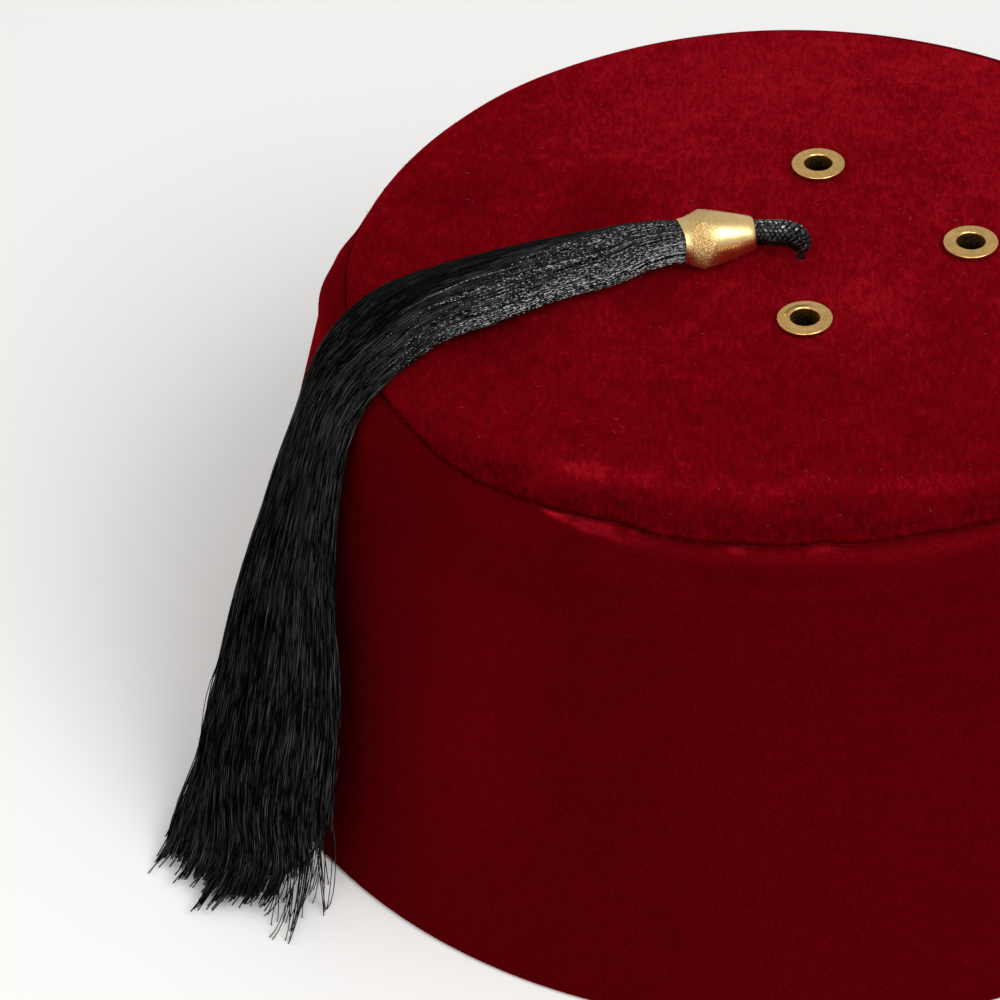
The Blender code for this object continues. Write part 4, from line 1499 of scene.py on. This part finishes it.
def in_locks(across, shares, free):
    """Shares across once the threads gather and wave with their locks, and the locks' rise, tone."""
    lock = np.floor((across + 1) / 2 * LOCK_COUNT).astype(int)
    phase = rng.uniform(0, 2 * math.pi, LOCK_ROOM)[lock][:, None]
    waves = rng.uniform(*LOCK_WAVES, LOCK_ROOM)[lock][:, None]
    reach = rng.uniform(*LOCK_REACH, LOCK_ROOM)[lock][:, None]
    rise = rng.uniform(*LOCK_RISE, LOCK_ROOM)[lock][:, None]
    tone = rng.random(LOCK_ROOM)[lock][:, None]
    middle = (lock + 0.5) / LOCK_COUNT * 2 - 1
    gather = LOCK_GATHER * free ** 1.5
    moved = across[:, None] * (1 - gather) + middle[:, None] * gather
    moved = moved + reach * free * np.sin(2 * math.pi * waves * shares + phase)
    return moved, rise, tone


print("locks:", LOCK_COUNT, "tufts:", TUFT_COUNT)

# %% One layer of threads
SHELL_DEPTH = 0.30
OWN_WAVES = (1.2, 4.5)
OWN_REACH = (0.006, 0.030)
STRAY_PART = 0.24
STRAY_MORE = 2.2
END_PART = 0.10
END_GATHER = 0.55
END_SPREAD = 0.02
# Painted light on the threads: glints are strong where the skirt lies on the tip and fade where it
# hangs. Past the listed shares across, on its upper side there, painted shade takes them away.
LYING_PLACES = (0.0, 0.16, 0.30, 0.38, 0.46, 1.0)
LYING = (1.0, 0.92, 0.80, 0.60, 0.15, 0.0)
DARK_PLACES = (0.10, 0.19, 0.266, 0.34)
DARK_FROM = (0.95, 0.60, 0.20, -0.05)


def skirt_paths(count, top_share):
    """Paths and tones for one layer of threads; top_share of them lie away from the hat."""
    across = rng.uniform(-1, 1, count)
    depth = 1 - SHELL_DEPTH * rng.random(count) ** 1.6
    side = np.where(rng.random(count) < top_share, 1.0, -1.0)
    out = side * np.sqrt(np.maximum(0.0, 1 - across ** 2)) * depth
    across = across * (0.97 + 0.05 * rng.random(count))
    tuft_middle, tuft_longer, tuft_lean = cut_tufts(across, side)
    ends = end_shares(across, out) + tuft_longer + rng.normal(0, CUT_SPREAD, count)
    ends = ends + (rng.random(count) < LONG_PART) * rng.uniform(0.0, LONG_BY, count)
    shares = ends[:, None] * np.linspace(0, 1, THREAD_POINTS)[None, :] ** 0.97
    free = np.clip((shares - LOCK_FREE_FROM) / (1 - LOCK_FREE_FROM), 0, None)
    moved, rise, lock_tone = in_locks(across, shares, free)
    own = rng.uniform(0, 2 * math.pi, (count, 1))
    turn = 2 * math.pi * rng.uniform(*OWN_WAVES, (count, 1)) * shares
    reach = rng.uniform(*OWN_REACH, (count, 1))
    reach = reach * (1 + STRAY_MORE * (rng.random((count, 1)) < STRAY_PART))
    moved = moved + reach * (0.25 + free) * np.sin(turn + own)
    lifted = out[:, None] * (1 + 0.05 * free * np.sin(turn + 1.7 * own))
    lifted = lifted * (1 + rise * np.clip(free * 2, 0, 1))
    at_end = np.clip((shares - ends[:, None] + END_PART) / END_PART, 0, 1) ** 2
    moved = moved + END_GATHER * at_end * (tuft_middle[:, None] - moved)
    moved = moved + at_end * (tuft_lean[:, None] + rng.normal(0, END_SPREAD, (count, 1)))
    tones = painted_glint_tones(shares, moved, rng.random((count, 1)), lock_tone)
    return place_threads(shares, moved, lifted), shares, tones


def painted_glint_tones(shares, across, own, lock_tone):
    """How bright the painted glints are: strong on the tip's near side, faint where the tassel
    hangs.
    """
    lying = np.interp(shares, LYING_PLACES, LYING)
    dark_from = np.interp(shares, DARK_PLACES, DARK_FROM)
    near = np.clip((dark_from - across) / 0.45, 0, 1)
    edge = np.clip((-0.65 - across) / 0.35, 0, 1)
    bright = near * (0.6 + 0.4 * own) - 0.45 * (1 - near) + 0.2 * edge
    return lying * bright + 0.10 * own + 0.14 * lock_tone


print("layer helper ready")

# %% Threads of the skirt
LAYERS = (
    # piece name, threads, share on the outer side
    ("tassel_threads_lower", 620, 0.25),
    ("tassel_threads_middle", 640, 0.62),
    ("tassel_threads_upper", 640, 0.92),
)
for name, count, top_share in LAYERS:
    paths, shares, tones = skirt_paths(count, top_share)
    radii = THREAD_RADIUS * (0.72 + 0.28 * np.clip(shares / 0.4, 0, 1))
    piece = thread_mesh(name, paths + np.array(AXIS), radii, tones)
    dress(piece, tassel_rayon, "black_rayon", "tassel_skirt")
    print(name, "faces:", len(piece.data.polygons))

# %% [markdown]
# ## The tassel's core
# Between the threads one should look into more threads, not through the tassel. A dark core body
# inside the skirt does that job for the price of a few faces. It ends well before the cut ends,
# so that the floor shows between the last threads.

# %% Core of the skirt
CORE_SHARE = 0.80
CORE_END = 0.86
CORE_RINGS = 60
CORE_SIDES = 28
TAPER_FROM = 0.72
TAPER = 0.45
core_shares = np.linspace(0.0, CORE_END, CORE_RINGS)
past = np.clip((core_shares - TAPER_FROM) / (CORE_END - TAPER_FROM), 0, 1)
taper = 1 - TAPER * past ** 1.5
core_halves = read_way(even_halves, core_shares) * (CORE_SHARE * taper)[:, None]
core = thread_mesh(
    "tassel_core",
    (read_way(even_middles, core_shares) + np.array(AXIS))[None],
    core_halves[None, :, 0],
    np.zeros(1),
    sides=CORE_SIDES,
    flat=core_halves[None, :, 1],
    flat_way=read_way(even_out, core_shares)[None],
)
dress(core, core_rayon, "black_rayon", "tassel_skirt")
print("core faces:", len(core.data.polygons))

# %% [markdown]
# ## Runaway threads
# A used tassel sheds: at its lower right some threads left the bundle, cross each other and lie
# on the floor past the cut, and on its left a few stand off in thin loops. They are drawn from
# short tables of where each group leaves the skirt and how far its ends or loops stray. One thin
# thread lies on top of the others, on the tip, with so high a tone that its painted glints make
# it look pale.

# %% Runaway threads
RUNAWAY_ROWS = (
    # threads, across at the start, leaves at, goal x mm, goal y mm, spread mm
    (11, -0.78, 0.80, -81.5, -73.5, 2.0),
    (10, -0.88, 0.74, -78.0, -71.0, 1.8),
    (8, -0.95, 0.68, -76.0, -65.5, 1.1),
    (4, -0.93, 0.70, -79.8, -76.5, 0.8),
    (3, -0.86, 0.72, -80.4, -78.0, 0.5),
    (10, -0.62, 0.82, -84.5, -70.0, 1.6),
    (6, 0.92, 0.84, -102.5, -58.0, 1.6),
    (3, -0.93, 0.72, -74.6, -70.8, 0.5),
)
RIDING_POINTS = 26
LOOSE_POINTS = 14
floor_across = unit(even_across[-1] * (1, 1, 0))


def runaway_thread(across, leaves, goal_x, goal_y, spread):
    """A thread that rides in the skirt, leaves it, and ends on the floor near its goal."""
    start_share = leaves + rng.uniform(-0.04, 0.04)
    start_across = np.clip(across + rng.normal(0, 0.08), -1.02, 1.02)
    start_out = rng.uniform(-0.2, 0.9) * math.sqrt(max(0.0, 1.05 - start_across ** 2))
    lead = np.linspace(0.12, start_share, RIDING_POINTS)
    drift = start_across * (0.93 + 0.07 * lead / start_share)
    riding = place_threads(lead, drift, np.full(RIDING_POINTS, start_out))
    start = riding[-1]
    goal = (goal_x + rng.normal(0, spread), goal_y + rng.normal(0, spread), 0.0)
    goal = np.array(goal) * 0.001
    goal[2] = THREAD_RADIUS * 1.3
    leave_way = unit(start - riding[-2]) * 0.24 * np.linalg.norm(goal - start)
    arrive_way = goal - start + floor_across * rng.normal(0, 0.006)
    arrive_way = unit(arrive_way * (1, 1, 0.35)) * 0.006
    share = np.linspace(0, 1, LOOSE_POINTS + 1)[1:, None]
    loose = (
        start * (1 - share) ** 3
        + 3 * (start + leave_way) * share * (1 - share) ** 2
        + 3 * (goal - arrive_way) * share ** 2 * (1 - share)
        + goal * share ** 3
    )
    wave = 0.0002 * np.sin(share * rng.uniform(5, 12) + rng.uniform(0, 6)) * share
    loose = loose + floor_across * wave
    loose[:, 2] = np.maximum(loose[:, 2], FLOOR_LIFT)
    return np.concatenate([riding, loose])


runaways = []
for count, *row in RUNAWAY_ROWS:
    runaways += [runaway_thread(*row) for _ in range(count)]
print("runaway ends:", len(runaways))

# %% Loops and one pale thread
LOOP_ROWS = (
    # starts at, ends at, stands off by, as shares
    (0.62, 0.78, 0.08), (0.70, 0.86, 0.12), (0.73, 0.93, 0.15), (0.76, 0.90, 0.10),
    (0.60, 0.97, 0.05), (0.80, 0.95, 0.08), (0.47, 0.58, 0.09), (0.49, 0.57, 0.06),
    (0.59, 0.66, 0.05), (0.64, 0.72, 0.06),
)
PALE_PLACES = (0.199, 0.26, 0.29, 0.345)
PALE_ACROSS = (-0.08, -0.03, -0.10, -0.18)
PALE_TONE_PLACES = (0.199, 0.23, 0.30, 0.345)
PALE_GLINT_TONES = (0.9, 1.35, 1.35, 0.9)
points_each = RIDING_POINTS + LOOSE_POINTS
lead = np.linspace(0.30, 0.985, points_each)
for start_share, end_share, stand_off in LOOP_ROWS:
    loop = np.clip((lead - start_share) / (end_share - start_share), 0, 1)
    drift = 0.98 + stand_off * np.sin(math.pi * loop) ** 2
    runaways.append(place_threads(lead, drift, np.full(points_each, rng.uniform(0.0, 0.25))))
tones = [np.full(points_each, tone * 0.2) for tone in rng.random(len(runaways))]
radii = np.full((len(runaways) + 1, points_each), THREAD_RADIUS * 0.8)
pale_lead = np.linspace(PALE_PLACES[0], PALE_PLACES[-1], points_each)
pale_across = np.interp(pale_lead, PALE_PLACES, PALE_ACROSS)
runaways.append(place_threads(pale_lead, pale_across, 1.04 * np.sqrt(1 - pale_across ** 2)))
# Painted glints: a high tone along the thread on top.
tones.append(np.interp(pale_lead, PALE_TONE_PLACES, PALE_GLINT_TONES))
radii[-1] = THREAD_RADIUS * 0.5
runaway_paths = np.array(runaways) + np.array(AXIS)
runaway = thread_mesh("tassel_runaways", runaway_paths, radii, np.array(tones))
dress(runaway, tassel_rayon, "black_rayon", "tassel_skirt")
print("runaway threads:", len(runaways))

# %% [markdown]
# ## Lint and seam fibres
# Cut pile sticks out of the seam, coloured darker than the velvet so that it adds painted shade
# to the seam's line, and a few pale curls of lint lie on the velvet. Both are short fibres,
# scattered at random but always the same way. The seam's fibres are cut short, so that the
# groove keeps a soft dark edge instead of a clean line.

# %% Helpers for fibres
FIBRE_POINTS = 5
FIBRE_BEND = 0.35


def fibre_finish(name, colour):
    material, shader = new_finish(name)
    clouds = stretched_noise(material, coordinates(material, "UV"), 2.0, detail=1.0)
    darker = tuple(0.45 * part for part in colour)
    tone = ramp(material, clouds, [(0.3, darker), (0.7, colour)])
    join(material, tone, shader.inputs["Base Color"])
    set_sockets(shader, Roughness=0.8, Specular_IOR_Level=0.0)
    return material


def scattered_fibres(name, starts, ways, lengths, radius, material, points=FIBRE_POINTS):
    """Short bent fibres from starting points along their ways."""
    count = len(starts)
    share = np.linspace(0, 1, points)[None, :, None]
    bend = unit(rng.normal(0, 1, (count, 3)))[:, None, :]
    paths = starts[:, None, :] + ways[:, None, :] * lengths[:, None, None] * share
    paths = paths + bend * lengths[:, None, None] * FIBRE_BEND * share ** 2
    radii = radius * np.tile(np.linspace(1.0, 0.5, points), (count, 1))
    piece = thread_mesh(name, paths + np.array(AXIS), radii, rng.random(count))
    dress(piece, material, "crimson_velvet")


print("fibre helpers ready")

# %% Fibres in the seam
SEAM_FIBRES = 2200
SEAM_FIBRE_LENGTHS = (0.0002, 0.0007)
SEAM_FIBRE_RADIUS = 0.00006
SEAM_FIBRE_SPREAD = 0.00018
BACK_SHARE = 0.35
# Darker than the velvet: painted shade of the seam's groove on its fibres.
SEAM_PILE_SHADE = (0.045, 0.0008, 0.0018)
azimuths = rng.uniform(-180, 180, SEAM_FIBRES)
seam_starts = []
seam_ways = []
for azimuth in azimuths:
    turn = math.radians(azimuth)
    radial = np.array((math.cos(turn), math.sin(turn), 0.0))
    tangent = np.array((-math.sin(turn), math.cos(turn), 0.0))
    radius = seam_radius(azimuth) + rng.normal(0, SEAM_FIBRE_SPREAD)
    seam_starts.append(radial * radius + (0, 0, HAT_HEIGHT - 0.95 * SEAM_GROOVE))
    seam_ways.append(radial * rng.normal(0.1, 0.45) + tangent * rng.normal(0, 0.5) + (0, 0, 1.0))
seam_lengths = rng.uniform(*SEAM_FIBRE_LENGTHS, SEAM_FIBRES)
seam_lengths = seam_lengths * np.where(np.sin(np.radians(azimuths)) > 0, BACK_SHARE, 1.0)
scattered_fibres(
    "seam_fibres", np.array(seam_starts), unit(np.array(seam_ways)), seam_lengths,
    SEAM_FIBRE_RADIUS, fibre_finish("shaded_seam_pile", SEAM_PILE_SHADE),
)
print("seam fibres:", SEAM_FIBRES)

# %% Lint on the tip
LINT_COUNT = 170
LINT_FIELD = 0.068
LINT_LIFT = 0.0001
LINT_LENGTHS = (0.00015, 0.0006)
LINT_RADIUS = 0.00003
LINT_POINTS = 7
LINT_PALE = (0.42, 0.16, 0.16)
lint_turn = rng.uniform(0, 2 * math.pi, LINT_COUNT)
lint_reach = LINT_FIELD * np.sqrt(rng.random(LINT_COUNT))
lint_starts = np.stack([
    lint_reach * np.cos(lint_turn),
    lint_reach * np.sin(lint_turn),
    tip_top(lint_reach) + LINT_LIFT,
], axis=1)
lint_ways = unit(rng.normal(0, 1, (LINT_COUNT, 3)) * (1, 1, 0.25))
scattered_fibres(
    "lint_on_tip", lint_starts, lint_ways, rng.uniform(*LINT_LENGTHS, LINT_COUNT),
    LINT_RADIUS, fibre_finish("pale_lint", LINT_PALE), points=LINT_POINTS,
)
print("lint:", LINT_COUNT)
